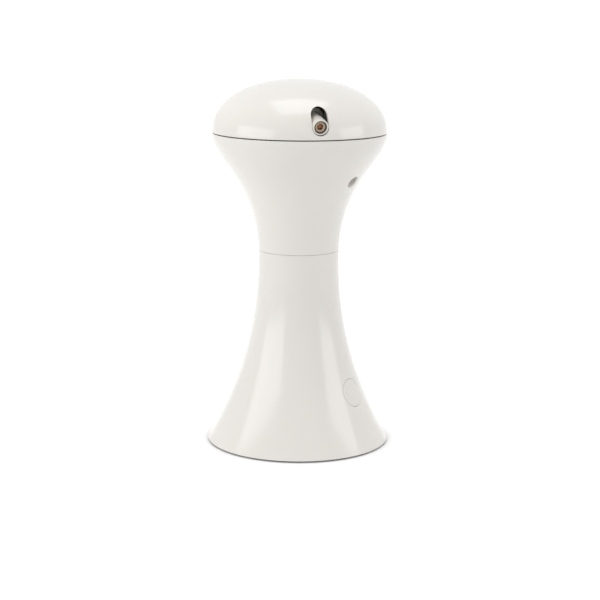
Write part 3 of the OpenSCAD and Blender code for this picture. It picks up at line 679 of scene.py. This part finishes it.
class Sheet(Tree):
    """A material's nodes, with short ways to add the ones that the finishes use."""

    low: float = 0.3
    high: float = 0.7
    one_ring: float = 0.314

    def __init__(self, name: str) -> None:
        """Starts a material.

        Args:
            name: The material's name.
        """
        self.material = bpy.data.materials.new(name)
        super().__init__(self.material)
        self.shader = self.nodes["Principled BSDF"]
        self.place = self.nodes.new("ShaderNodeTexCoord").outputs["Object"]

    def noise(self, size: float, detail: float = 2.0, rough: float = 0.5) -> Socket:
        """Soft noise about 0.5, whose features have a size in millimetres."""
        values = {"Scale": 1.0 / (size * MM), "Detail": detail, "Roughness": rough}
        return self.add("TexNoise", values, Vector=self.place).outputs["Fac"]

    def cells(self, size: float) -> Socket:
        """Distance to the nearest of many points, scattered at a size in millimetres."""
        values = {"Scale": 1.0 / (size * MM)}
        return self.add("TexVoronoi", values, Vector=self.place).outputs["Distance"]

    def rings(self, size: float, axis: str = "Z") -> Socket:
        """Fine turned grooves along an axis.

        Args:
            size: Distance between the grooves, in millimetres.
            axis: The direction in which one groove follows another.

        Returns:
            The value, from 0 to 1.
        """
        values = {"Scale": self.one_ring / (size * MM), "Distortion": 0.6, "Detail": 1.0}
        node = self.add("TexWave", values, Vector=self.place)
        node.bands_direction = axis
        return node.outputs["Fac"]

    def steer(self, value: Socket, low: float, high: float) -> Socket:
        """Spreads a value, mostly between the sheet's low and high, between two others."""
        values = {"From Min": self.low, "From Max": self.high, "To Min": low, "To Max": high}
        return self.add("MapRange", values, Value=value).outputs["Result"]

    def blend(self, value: Socket, dark: Rgb, light: Rgb) -> Socket:
        """Turns a value into a colour.

        Args:
            value: The value.
            dark: The colour at the sheet's low.
            light: The colour at its high.

        Returns:
            The colour.
        """
        node = self.add("ValToRGB", {}, Fac=value)
        stops = ((self.low, dark), (self.high, light))
        for element, (where, tone) in zip(node.color_ramp.elements, stops):
            element.position = where
            element.color = (*tone, 1.0)
        return node.outputs["Color"]

    def relief(self, value: Socket, depth: float, **under: Socket) -> Socket:
        """Raises the surface by a value, over another relief if that is given as Normal."""
        values = {"Distance": depth * MM, "Strength": 1.0}
        return self.add("Bump", values, Height=value, **under).outputs["Normal"]

    def give(self, socket: str, value: Socket) -> None:
        """Joins a value to one of the shader's sockets."""
        self.links.new(value, self.shader.inputs[socket])

    def hold(self, **sockets: float | tuple[float, ...]) -> None:
        """Sets the shader's own sockets, with _ for a space in a socket's name."""
        for name, value in sockets.items():
            self.shader.inputs[name.replace("_", " ")].default_value = value


@dataclass(frozen=True)
class Finish:
    """A finish that wanders softly between two tones, with a fine grain in its surface."""

    slot: str
    dark: Rgb
    light: Rgb
    patch: float
    rough: Point2
    grain: float
    grain_depth: float
    metallic: float = 0.0
    finer: float = 0.4

    def colour(self, sheet: Sheet) -> Socket:
        """The colour over the surface, on the material's nodes."""
        return sheet.blend(sheet.noise(self.patch, 3.0), self.dark, self.light)

    def surface(self, sheet: Sheet) -> Socket:
        """The relief over the surface, as for the colour."""
        return sheet.relief(sheet.noise(self.grain, 2.0), self.grain_depth)

    def extras(self, sheet: Sheet) -> None:
        """Sets what else the finish has: its plain metal share."""
        sheet.hold(Metallic=self.metallic)

    def material(self) -> bpy.types.Material:
        """The finish's material, made once.

        Returns:
            The material.
        """
        title = f"{self.slot}_finish"
        known = bpy.data.materials.get(title)
        if known is not None:
            return known
        sheet = Sheet(title)
        sheet.give("Base Color", self.colour(sheet))
        uneven = sheet.noise(self.patch * self.finer, 4.0)
        sheet.give("Roughness", sheet.steer(uneven, *self.rough))
        sheet.give("Normal", self.surface(sheet))
        self.extras(sheet)
        return sheet.material


@dataclass(frozen=True)
class GlossMoulding(Finish):
    """Polished injection moulding, with the faint waviness of its tool."""

    wave: float = 9.0
    wave_depth: float = 0.004
    coat: float = 0.35
    coat_rough: float = 0.06
    ior: float = 1.46

    def surface(self, sheet: Sheet) -> Socket:
        """A faint waviness under a finer skin, as for the plain finish."""
        wavy = sheet.relief(sheet.noise(self.wave, 1.0), self.wave_depth)
        return sheet.relief(sheet.noise(self.grain, 2.0), self.grain_depth, Normal=wavy)

    def extras(self, sheet: Sheet) -> None:
        """Adds the polished skin."""
        sheet.hold(Coat_Weight=self.coat, Coat_Roughness=self.coat_rough, IOR=self.ior)


@dataclass(frozen=True)
class SparkedMoulding(Finish):
    """Moulding from a spark-eroded tool: a fine, even, pitted grain."""

    def surface(self, sheet: Sheet) -> Socket:
        """Shallow pits, as for the plain finish."""
        pits = sheet.relief(sheet.cells(self.grain), self.grain_depth)
        return sheet.relief(sheet.noise(self.grain * self.finer), self.grain_depth, Normal=pits)


@dataclass(frozen=True)
class TurnedMetal(Finish):
    """Metal with the fine grooves of the tool that turned or drew it."""

    metallic: float = 1.0
    groove: float = 0.25
    groove_depth: float = 0.004
    axis: str = "Z"

    def surface(self, sheet: Sheet) -> Socket:
        """Grooves under the grain, as for the plain finish."""
        turned = sheet.relief(sheet.rings(self.groove, self.axis), self.groove_depth)
        return sheet.relief(sheet.noise(self.grain, 3.0), self.grain_depth, Normal=turned)


@dataclass(frozen=True)
class BoardMask(Finish):
    """Green mask over copper: tracks show as paler lines."""

    def colour(self, sheet: Sheet) -> Socket:
        """Tracks between plain cells.

        Args:
            sheet: The material's nodes.

        Returns:
            The colour.
        """
        dark, light = (*self.dark, 1.0), (*self.light, 1.0)
        values = {
            "Scale": 160.0, "Mortar Size": 0.03, "Color1": dark, "Color2": dark, "Mortar": light,
        }
        return sheet.add("TexBrick", values, Vector=sheet.place).outputs["Color"]


@dataclass(frozen=True)
class RedGlass(Finish):
    """The red lens that the beam leaves by."""

    clear: float = 0.2
    ior: float = 1.5
    coat: float = 0.3
    coat_rough: float = 0.03

    def extras(self, sheet: Sheet) -> None:
        """Lets some light through, and adds a polished skin."""
        sheet.hold(Transmission_Weight=self.clear, IOR=self.ior)
        sheet.hold(Coat_Weight=self.coat, Coat_Roughness=self.coat_rough)


SHELL = GlossMoulding(
    "gloss_white_shell", (0.865, 0.838, 0.792), (0.885, 0.857, 0.810),
    patch=70.0, rough=(0.15, 0.19), grain=0.7, grain_depth=0.0012,
    wave=16.0, wave_depth=0.006, coat=0.1,
)
BUTTON = GlossMoulding(
    "button_white", (0.855, 0.828, 0.782), (0.875, 0.847, 0.800),
    patch=25.0, rough=(0.17, 0.22), grain=0.6, grain_depth=0.0015,
    wave=12.0, wave_depth=0.005, coat=0.1,
)
INNER = SparkedMoulding(
    "white_moulding", (0.66, 0.65, 0.62), (0.71, 0.70, 0.67),
    patch=22.0, rough=(0.45, 0.56), grain=0.35, grain_depth=0.015,
)
ACETAL = Finish(
    "acetal", (0.74, 0.72, 0.64), (0.79, 0.77, 0.70),
    patch=12.0, rough=(0.32, 0.42), grain=0.8, grain_depth=0.006,
)
RUBBER = SparkedMoulding(
    "rubber_pad", (0.030, 0.030, 0.032), (0.050, 0.050, 0.053),
    patch=6.0, rough=(0.62, 0.78), grain=0.30, grain_depth=0.02,
)
STEEL = TurnedMetal(
    "screw_steel", (0.50, 0.50, 0.51), (0.62, 0.62, 0.63),
    patch=3.0, rough=(0.22, 0.36), grain=0.3, grain_depth=0.004,
    groove=0.18,
)
MOTOR_CAN = TurnedMetal(
    "motor_can", (0.52, 0.53, 0.55), (0.63, 0.64, 0.66),
    patch=8.0, rough=(0.25, 0.38), grain=0.4, grain_depth=0.005,
    groove=0.35, groove_depth=0.005,
)
GEARBOX_BRASS = TurnedMetal(
    "gearbox_brass", (0.60, 0.45, 0.22), (0.72, 0.57, 0.31),
    patch=6.0, rough=(0.26, 0.38), grain=0.35, grain_depth=0.005,
    groove=0.3, axis="X",
)
CELL_WRAP = GlossMoulding(
    "cell_wrap", (0.050, 0.055, 0.065), (0.085, 0.090, 0.105),
    patch=14.0, rough=(0.22, 0.30), grain=0.5, grain_depth=0.004,
    wave=7.0, wave_depth=0.02, coat=0.6,
)
NICKEL = TurnedMetal(
    "contact_nickel", (0.60, 0.60, 0.57), (0.70, 0.70, 0.67),
    patch=5.0, rough=(0.20, 0.32), grain=0.4, grain_depth=0.004,
    groove=0.22, groove_depth=0.003, axis="X",
)
BOARD = BoardMask(
    "circuit_board", (0.018, 0.120, 0.050), (0.045, 0.220, 0.100),
    patch=4.0, rough=(0.30, 0.40), grain=0.5, grain_depth=0.006,
)
BLACK = SparkedMoulding(
    "black_moulding", (0.022, 0.022, 0.024), (0.038, 0.038, 0.040),
    patch=5.0, rough=(0.42, 0.55), grain=0.25, grain_depth=0.012,
)
COPPER = TurnedMetal(
    "contact_copper", (0.66, 0.36, 0.19), (0.80, 0.48, 0.28),
    patch=3.0, rough=(0.18, 0.30), grain=0.3, grain_depth=0.003,
    groove=0.15,
)
IVORY = GlossMoulding(
    "barrel_ivory", (0.80, 0.765, 0.700), (0.84, 0.805, 0.740),
    patch=9.0, rough=(0.20, 0.27), grain=0.4, grain_depth=0.002,
    wave=5.0,
)
MODULE_BRASS = TurnedMetal(
    "module_brass", (0.27, 0.21, 0.145), (0.34, 0.27, 0.19),
    patch=2.5, rough=(0.30, 0.42), grain=0.25, grain_depth=0.004,
    metallic=0.85, groove=0.2, groove_depth=0.005,
)
LENS = RedGlass(
    "red_lens", (0.32, 0.075, 0.010), (0.52, 0.15, 0.025),
    patch=1.5, rough=(0.06, 0.12), grain=0.5, grain_depth=0.001,
)


class Body(Enum):
    """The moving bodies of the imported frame."""

    BASE = "base"
    COVER = "battery_cover"
    BUTTON = "button"
    LOWER_PINION = "lower_pinion"
    MIDDLE = "middle"
    UPPER_PINION = "upper_pinion"
    HEAD = "head"
    UPPER_LASER = "upper_laser"


def dress(piece: Piece, finish: Finish, body: Body, stands_for: Sequence[str] = ()) -> None:
    """Gives a new piece its finish, and lets it ride on a body.

    Args:
        piece: The piece.
        finish: Its finish.
        body: The body that carries it.
        stands_for: The nodes of the frame that it takes the place of.
    """
    piece.data.materials.clear()
    piece.data.materials.append(finish.material())
    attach(piece, body.value)
    if stands_for:
        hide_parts(*stands_for)
    log.info("%s: %d faces, on %s", piece.name, len(piece.data.polygons), body.value)


# ---- Sub-assemblies ----


@dataclass
class BellBase:
    """The bell-shaped shell and the feet that it stands on."""

    foot_h: float = 1.0
    top: float = 118.62
    wall: float = WALL
    edge: float = 0.1
    foot_edge: float = 0.35
    rings: int = 90
    pad_r: float = 4.0
    pad_ring_r: float = 48.764
    pad_top: float = 1.6
    pad_edge: float = 0.45
    dish: float = 0.12
    dish_rim: float = 1.2
    fine: float = 0.1
    button: "PressButton" = field(default_factory=lambda: PressButton())

    def shell(self) -> Piece:
        """Builds the bell, with the button's hole in it.

        Returns:
            The shell.
        """
        span = self.top - self.foot_h
        heights = [self.foot_h + span * k / self.rings for k in range(self.rings + 1)]
        outer = [(BELL.radius(z), z) for z in heights]
        profile = wall_profile(outer, self.wall, self.foot_edge, self.edge)
        shell = lathe("bell_shell", profile, 256)
        combine(shell, self.button.hole_cutter(), Way.CUT)
        true_normals(shell, BELL)
        return shell

    def feet(self) -> Piece:
        """Builds the soft feet, each with a rounded rim and a shallow dish.

        Returns:
            The four feet, as one piece.
        """
        profile = rounded([
            (0.0, self.dish, 0.0),
            (self.pad_r - self.dish_rim - self.fine, self.dish, self.fine),
            (self.pad_r - self.dish_rim + self.fine, 0.0, self.fine),
            (self.pad_r, 0.0, self.pad_edge),
            (self.pad_r, self.pad_top, self.fine),
            (0.0, self.pad_top, 0.0),
        ])
        made = []
        for degrees in (45, 135, 225, 315):
            turn = math.radians(degrees)
            spot = Vector((math.cos(turn), math.sin(turn), 0.0)) * self.pad_ring_r
            made.append(lathe("soft_feet", profile, 48, Matrix.Translation(spot)))
        feet = join(made)
        soften(feet)
        return feet

    def build(self) -> None:
        """Builds and dresses the base's outside."""
        dress(self.shell(), SHELL, Body.BASE, ["lower_shell"])
        dress(self.feet(), RUBBER, Body.BASE, ["rubber_feet"])


@dataclass
class PressButton:
    """The round button, flush with the bell."""

    radius: float = 8.6
    gap: float = 0.16
    height: float = 34.2
    edge: float = 0.14
    flange: float = 1.1
    flange_depth: float = 3.6
    flange_t: float = 1.0
    hole_depth: float = 12.0

    @property
    def bore(self) -> Bore:
        """The button's axis, square to the bell."""
        return bore_at(BELL, self.height)

    def hole_cutter(self) -> Piece:
        """The solid that the button's hole is cut with."""
        hole = Round(self.radius + self.gap)
        return lipped_cutter(self.bore, hole, self.edge, [(0.0, self.hole_depth)])

    def cap(self) -> Piece:
        """Builds the cap: a crown that follows the bell, a rounded rim and a flange.

        Returns:
            The cap.
        """
        bore, count = self.bore, 96
        back = self.flange_depth + self.flange_t
        shape = Round(self.radius)
        rings: list[list[Vector]] = []
        for share in (0.15, 0.3, 0.45, 0.6, 0.75, 0.9):
            inside = (share - 1.0) * (self.radius - self.edge) - self.edge
            rings.append(bore.along(shape.ring(inside, count), 0.0))
        for grow, sink in quarter(self.edge, 5):
            rings.append(bore.along(shape.ring(-grow, count), sink))
        for grow, depth in (
            (0.0, self.flange_depth), (self.flange, self.flange_depth), (self.flange, back)
        ):
            rings.append(bore.across(shape.ring(grow, count), depth))
        points = [p for ring in rings for p in ring]
        points += bore.along([(0.0, 0.0)], 0.0) + bore.across([(0.0, 0.0)], back)
        top, bottom = len(points) - 2, len(points) - 1
        last = (len(rings) - 1) * count
        faces: list[list[int]] = []
        for k in range(count):
            n = (k + 1) % count
            faces.append([top, k, n])
            faces.append([bottom, last + n, last + k])
            for i in range(len(rings) - 1):
                low, high = i * count, (i + 1) * count
                faces.append([low + k, high + k, high + n, low + n])
        cap = make_piece("button_crown", points, faces)
        true_normals(cap, BELL)
        return cap

    def build(self) -> None:
        """Builds and dresses the button."""
        dress(self.cap(), BUTTON, Body.BUTTON, ["button_cap"])


@dataclass
class LowerLaser:
    """The fixed laser behind the middle section's round window."""

    height: float = 162.1
    window_r: float = 3.8
    window_depth: float = 4.5
    lip: float = 1.1
    boss_r: float = 6.4
    boss_start: float = 1.2
    boss_len: float = 14.0
    barrel_r: float = BARREL_R
    barrel_len: float = 17.3
    seat_depth: float = 15.0
    play: float = 0.02

    @property
    def bore(self) -> Bore:
        """The laser's axis, square to the flare."""
        return bore_at(FLARE, self.height)

    @property
    def place(self) -> Matrix:
        """From the laser's own frame, with Z out of the window, to the toy's frame."""
        axes = Matrix((self.bore.right, self.bore.up, -self.bore.inwards))
        return Matrix.Translation(self.bore.start) @ axes.transposed().to_4x4()

    def boss(self) -> Piece:
        """The socket that carries the barrel, joined to the shell later."""
        profile = [
            (0.0, -self.boss_len), (self.boss_r, -self.boss_len),
            (self.boss_r, -self.boss_start), (0.0, -self.boss_start),
        ]
        return lathe("boss", profile, 96, self.place)

    def window_cutter(self) -> Piece:
        """The solid that the window and the barrel's seat are cut with.

        Returns:
            The cutter.
        """
        seat = self.barrel_r + self.play - self.window_r
        inner = [(0.0, self.window_depth), (seat, self.window_depth), (seat, self.seat_depth)]
        return lipped_cutter(self.bore, Round(self.window_r), self.lip, inner)

    def build(self) -> None:
        """Builds and dresses the barrel, module and lens."""
        front = self.place @ Matrix.Translation(Vector((0.0, 0.0, -self.window_depth)))
        LaserParts("lower", front, self.barrel_len, Body.MIDDLE).build()


@dataclass
class LaserParts:
    """A barrel with its laser module and lens, along local Z, its front at z = 0."""

    level: str
    place: Matrix
    barrel_len: float
    body: Body
    barrel_r: float = BARREL_R
    barrel_edge: float = 0.4
    back_edge: float = 0.3
    lip_r: float = 3.75
    lip_depth: float = 1.2
    lip_edge: float = 0.12
    module_r: float = 3.1
    module_len: float = 16.0
    aperture_r: float = 1.6
    lens_depth: float = 1.3
    lens_t: float = 1.4
    # The black ring in the recess is painted shade: it stands in for the recess's shadow.
    shade_ring_r: float = 2.9
    shade_ring_top: float = 0.9
    shade_ring_slope: float = 0.15
    shade_ring_rise: float = 0.12
    overlap: float = 0.04
    play: float = 0.02
    fine: float = 0.1
    module_edge: float = 0.25
    chamfer: float = 0.35
    chamfer_edge: float = 0.08
    hole_spare: float = 0.4
    lens_dome: float = 0.45

    def turned(
        self, name: str, profile: Sequence[Point2], segments: int, limit: float
    ) -> Piece:
        """Builds one piece on the laser's axis.

        Args:
            name: What it is called, after the level.
            profile: Its closed profile.
            segments: Number of steps round the axis.
            limit: Edges that turn by more than this angle, in degrees, stay sharp.

        Returns:
            The piece.
        """
        made = lathe(f"{self.level}_{name}", profile, segments, self.place)
        soften(made, limit)
        return made

    def barrel(self) -> Piece:
        """Builds the tube, with a rounded front and a recess round the module.

        Returns:
            The tube.
        """
        bore = self.module_r + self.play
        profile = rounded([
            (self.barrel_r, 0.0, self.barrel_edge),
            (self.lip_r, 0.0, self.lip_edge),
            (self.lip_r, -self.lip_depth, self.fine),
            (bore, -self.lip_depth, 0.0),
            (bore, -self.barrel_len, 0.0),
            (self.barrel_r, -self.barrel_len, self.back_edge),
        ])
        return self.turned("barrel", profile, 96, 40.0)

    def module(self) -> Piece:
        """Builds the turned module, chamfered round its face and its hole.

        Returns:
            The module.
        """
        face = -self.lip_depth
        hole = face - self.lens_depth - self.lens_t - self.hole_spare
        back = face - self.module_len
        profile = rounded([
            (self.module_r, face, self.module_edge),
            (self.aperture_r + self.chamfer, face, self.chamfer_edge),
            (self.aperture_r, face - self.chamfer, self.chamfer_edge),
            (self.aperture_r, hole, 0.0),
            (0.0, hole, 0.0),
            (0.0, back, 0.0),
            (self.module_r, back, self.module_edge),
        ], 4)
        return self.turned("module", profile, 72, 30.0)

    def lens(self) -> Piece:
        """Builds the lens, with a domed front.

        Returns:
            The lens.
        """
        face = -self.lip_depth - self.lens_depth
        profile = [(0.0, face - self.lens_t), (self.aperture_r, face - self.lens_t)]
        for a in (math.pi / 2 * k / 8 for k in range(8)):
            rise = self.lens_dome * math.sin(a)
            profile.append((self.aperture_r * math.cos(a), face - self.lens_dome + rise))
        profile.append((0.0, face))
        return self.turned("lens", profile, 48, 50.0)

    def painted_shade_ring(self) -> Piece:
        """Builds the black ring that fills the recess round the module: painted shade that stands
        in for the recess's dark shadow.

        Returns:
            The ring.
        """
        low = -self.lip_depth - self.fine
        profile = [
            (self.shade_ring_r, low),
            (self.lip_r + self.overlap, low),
            (self.lip_r + self.overlap, -self.shade_ring_top),
            (self.lip_r - self.fine, -self.shade_ring_top - self.shade_ring_slope),
            (self.shade_ring_r, self.shade_ring_rise - self.lip_depth),
        ]
        return self.turned("painted_shade_ring", profile, 72, 35.0)

    def build(self) -> None:
        """Builds and dresses the three pieces, and the black ring of painted shade."""
        dress(self.barrel(), IVORY, self.body, [f"{self.level}_laser_barrel"])
        dress(self.module(), MODULE_BRASS, self.body, [f"{self.level}_laser_module"])
        dress(self.lens(), LENS, self.body, [f"{self.level}_laser_lens"])
        # A black ring, painted shade for the shadow in the recess round the module.
        dress(self.painted_shade_ring(), BLACK, self.body)


@dataclass
class FlaredMiddle:
    """The flared shell between the neck's seam and the head's seam."""

    bottom: float = 118.78
    wall: float = WALL
    edge: float = 0.1
    top_edge: float = 0.3
    rings: int = 80
    laser: LowerLaser = field(default_factory=LowerLaser)

    def shell(self) -> Piece:
        """Builds the flare, with the laser's socket and window.

        Returns:
            The shell.
        """
        first = FLARE.share(self.bottom)
        shares = [first + (1.0 - first) * k / self.rings for k in range(self.rings + 1)]
        outer = [FLARE.place(share) for share in shares]
        profile = wall_profile(outer, self.wall, self.edge, self.top_edge)
        shell = lathe("flared_shell", profile, 256)
        combine(shell, self.laser.boss(), Way.ADD)
        combine(shell, self.laser.window_cutter(), Way.CUT)
        true_normals(shell, FLARE)
        return shell

    def build(self) -> None:
        """Builds and dresses the middle's outside and its laser."""
        dress(self.shell(), SHELL, Body.MIDDLE, ["middle_shell"])
        self.laser.build()


@dataclass
class DomedHead:
    """The dome, with the upright slot that its laser tilts in."""

    wall: float = WALL
    edge: float = 0.3
    rings: int = 72
    yaw: float = HEAD_YAW
    slot_w: float = 9.8
    slot_h: float = 16.2
    slot_low: float = 192.325
    slot_lip: float = 0.35
    cut_depth: float = 26.0

    def shell(self) -> Piece:
        """Builds the dome, turned to its rest direction, with the slot cut in.

        Returns:
            The shell.
        """
        angles = [math.pi / 2 * k / self.rings for k in range(self.rings + 1)]
        outer = [DOME.place(a) for a in angles]
        inner = [DOME.place(a, self.wall) for a in reversed(angles[::2])]
        outer[-1] = (0.0, outer[-1][1])
        inner[0] = (0.0, inner[0][1])
        rim = DOME.bottom
        corners = [(r, z, 0.0) for r, z in outer + inner]
        corners.append((inner[-1][0], rim, self.edge))
        corners.append((outer[0][0], rim, self.edge))
        shell = lathe("domed_shell", rounded(corners), 320)
        combine(shell, self.slot_cutter(), Way.CUT)
        true_normals(shell, DOME)
        return shell

    def slot_cutter(self) -> Piece:
        """The solid that the slot is cut with.

        Returns:
            The cutter.
        """
        middle = self.slot_low + self.slot_h / 2
        turn = math.radians(self.yaw)
        outwards = Vector((math.sin(turn), -math.cos(turn), 0.0))
        start = outwards * DOME.radius(middle)
        start.z = middle
        bore = Bore(DOME, start, -outwards)
        slot = Upright(self.slot_w, self.slot_h)
        return lipped_cutter(bore, slot, self.slot_lip, [(0.0, self.cut_depth)], 112)

    def build(self) -> None:
        """Builds and dresses the dome."""
        dress(self.shell(), SHELL, Body.HEAD, ["head_dome"])


@dataclass
class UpperLaser:
    """The laser that tilts in the dome's slot."""

    tilt_r: float = 28.0
    tilt_z: float = 201.525
    rest_tilt: float = 10.0
    yaw: float = HEAD_YAW
    front: float = 24.6
    back: float = 11.0
    aside: float = -0.2

    def build(self) -> None:
        """Builds and dresses the barrel, module and lens."""
        place = (
            Matrix.Rotation(math.radians(self.yaw), 4, "Z")
            @ Matrix.Translation(Vector((self.aside, -self.tilt_r, self.tilt_z)))
            @ Matrix.Rotation(math.radians(90.0 + self.rest_tilt), 4, "X")
            @ Matrix.Translation(Vector((0.0, 0.0, self.front)))
        )
        LaserParts("upper", place, self.front + self.back, Body.UPPER_LASER).build()


@dataclass
class InnerWorks:
    """The frame's own nodes that stay: each gets its real finish, and the soft-edged ones also
    get fine edges.
    """

    edge: float = 0.12
    sharp: float = 40.0
    finishes: dict[str, Finish] = field(default_factory=lambda: {
        finish.slot: finish
        for finish in (
            SHELL, BUTTON, INNER, ACETAL, RUBBER, STEEL, MOTOR_CAN, GEARBOX_BRASS, CELL_WRAP,
            NICKEL, BOARD, BLACK, COPPER, IVORY, MODULE_BRASS, LENS,
        )
    })
    soft_edged: tuple[str, ...] = (
        "base_plate", "battery_cover", "base_screws", "battery_tray", "main_board",
        "board_parts", "tilt_bracket", "trunnion_collar", "head_floor",
    )

    def build(self) -> None:
        """Dresses every node that nothing stands for."""
        slots = {part["node"]: part["material_slot"] for part in frame["record"]["subparts"]}
        for name, node in frame["nodes"].items():
            if node.hide_render:
                continue
            node.data.materials.clear()
            node.data.materials.append(self.finishes[slots[name]].material())
            if name in self.soft_edged:
                bevel = node.modifiers.new("fine_edges", "BEVEL")
                bevel.width = self.edge * MM
                bevel.segments = 2
                bevel.limit_method = "ANGLE"
                bevel.angle_limit = math.radians(self.sharp)
                bevel.harden_normals = True
            log.info("%s: kept, as %s", name, slots[name])


# ---- Studio ----


@dataclass(frozen=True)
class Lamp:
    """A soft lamp, its turn in degrees to the right of the camera, its lengths in metres."""

    name: str
    turn: float
    away: float
    height: float
    size: Point2
    bright: float


@dataclass
class Studio:
    """Pale floor, soft lamps and the camera."""

    azimuth: float = -57.4
    away: float = 957.2
    height: float = 283.2
    pitch: float = 11.59
    sideways: float = 0.0575
    roll: float = 0.3885
    focal_px: float = 1594.4
    frame_px: float = 600.0
    floor_size: float = 60.0
    floor_tone: Rgb = (0.80, 0.80, 0.80)
    floor_glow: float = 0.64
    # Reach and power of the painted contact shadow: the floor's glow is dimmed by ambient
    # occlusion.
    painted_shadow_reach: float = 20.0
    painted_shadow_power: float = 3.0
    sky: float = 0.53
    sensor: float = 36.0
    aim_height: float = 0.12
    lamps: tuple[Lamp, ...] = (
        Lamp("top_lamp", 0.0, 0.01, 1.30, (0.8, 0.8), 2.30),
        Lamp("left_lamp", -60.0, 1.15, 0.38, (1.15, 0.5), 2.40),
        Lamp("right_lamp", 72.0, 1.15, 0.38, (0.70, 0.5), 2.25),
    )

    def bearing(self, turn: float) -> Vector:
        """A level direction from the toy, in degrees to the right of the camera."""
        a = math.radians(self.azimuth + turn)
        return Vector((math.sin(a), -math.cos(a), 0.0))

    def camera(self) -> None:
        """Sets the camera at the photograph's viewing angle."""
        data = bpy.data.cameras.new("camera")
        data.sensor_width = self.sensor
        data.lens = self.sensor * self.focal_px / self.frame_px
        data.clip_start = 0.05
        data.clip_end = 100.0
        made = add_object("camera", data)
        back = self.bearing(0.0)
        ahead = -back * math.cos(math.radians(self.pitch))
        ahead.z = -math.sin(math.radians(self.pitch))
        right = ahead.cross(Z_AXIS).normalized()
        up = right.cross(ahead)
        turn = Matrix((right, up, -ahead)).transposed().to_4x4()
        aim = Matrix.Rotation(math.radians(-self.sideways), 4, "Y")
        lean = Matrix.Rotation(math.radians(self.roll), 4, "Z")
        spot = back * self.away * MM
        spot.z = self.height * MM
        made.matrix_world = Matrix.Translation(spot) @ turn @ aim @ lean
        bpy.context.scene.camera = made

    def shown(self, tree: Tree) -> Socket:
        """Whether a ray is one that shows the background.

        Args:
            tree: The nodes to add to.

        Returns:
            1 for camera, glossy and transmission rays, and otherwise 0.
        """
        rays = tree.add("LightPath", {}).outputs
        total = tree.work_out("MAXIMUM", rays["Is Camera Ray"], rays["Is Glossy Ray"])
        return tree.work_out("MAXIMUM", total, rays["Is Transmission Ray"])

    def world(self) -> None:
        """Sets a plain white surround that lights the toy softly."""
        world = bpy.data.worlds.new("surround")
        bpy.context.scene.world = world
        tree = Tree(world)
        background = tree.nodes["Background"]
        spread = tree.add("MapRange", {"To Min": self.sky, "To Max": 1.0}, Value=self.shown(tree))
        tree.links.new(spread.outputs["Result"], background.inputs["Strength"])
        background.inputs["Color"].default_value = (1.0, 1.0, 1.0, 1.0)

    def floor(self) -> None:
        """Lays a pale floor that keeps the toy's shadow. Near the toy, its glow is dimmed by
        ambient occlusion, which paints a contact shadow over the real one.
        """
        half = self.floor_size / 2 / MM
        corners = [(-half, -half), (half, -half), (half, half), (-half, half)]
        made = make_piece("floor", [Vector((x, y, 0.0)) for x, y in corners], [[0, 1, 2, 3]])
        material = bpy.data.materials.new("pale_floor")
        tree = Tree(material)
        shader = tree.nodes["Principled BSDF"]
        shader.inputs["Base Color"].default_value = (*self.floor_tone, 1.0)
        shader.inputs["Roughness"].default_value = 0.7
        shader.inputs["Specular IOR Level"].default_value = 0.2
        shader.inputs["Emission Color"].default_value = (1.0, 1.0, 1.0, 1.0)
        glow = tree.work_out("MULTIPLY", self.shown(tree), self.floor_glow)
        # The glow fades with ambient occlusion near the toy. This is a painted contact shadow,
        # deeper than the real one.
        contact = tree.add("AmbientOcclusion", {"Distance": self.painted_shadow_reach * MM})
        painted_contact_shadow = tree.work_out("POWER", contact.outputs["AO"], self.painted_shadow_power)
        kept = tree.work_out("MULTIPLY", glow, painted_contact_shadow)
        tree.links.new(kept, shader.inputs["Emission Strength"])
        made.data.materials.append(material)

    def hang(self, lamp: Lamp) -> None:
        """Hangs a lamp that faces the toy.

        Args:
            lamp: The lamp, whose face at a brightness of 1 is the white of the surround.
        """
        data = bpy.data.lights.new(lamp.name, "AREA")
        data.shape = "RECTANGLE"
        data.size, data.size_y = lamp.size
        data.energy = lamp.bright * math.pi * lamp.size[0] * lamp.size[1]
        made = add_object(lamp.name, data)
        spot = self.bearing(lamp.turn) * lamp.away
        spot.z = lamp.height
        aim = Vector((0.0, 0.0, self.aim_height)) - spot
        made.location = spot
        made.rotation_mode = "QUATERNION"
        made.rotation_quaternion = aim.to_track_quat("-Z", "Y")

    def build(self) -> None:
        """Sets up the whole studio."""
        self.camera()
        self.world()
        self.floor()
        for lamp in self.lamps:
            self.hang(lamp)
        bpy.context.scene.view_settings.view_transform = "Standard"


def main() -> None:
    """Builds and dresses the toy, assembly by assembly, and then the studio."""
    logging.basicConfig(level=logging.INFO, format="%(name)s: %(message)s")
    base = BellBase()
    base.build()
    base.button.build()
    FlaredMiddle().build()
    DomedHead().build()
    UpperLaser().build()
    InnerWorks().build()
    Studio().build()


if __name__ == "__main__":
    main()
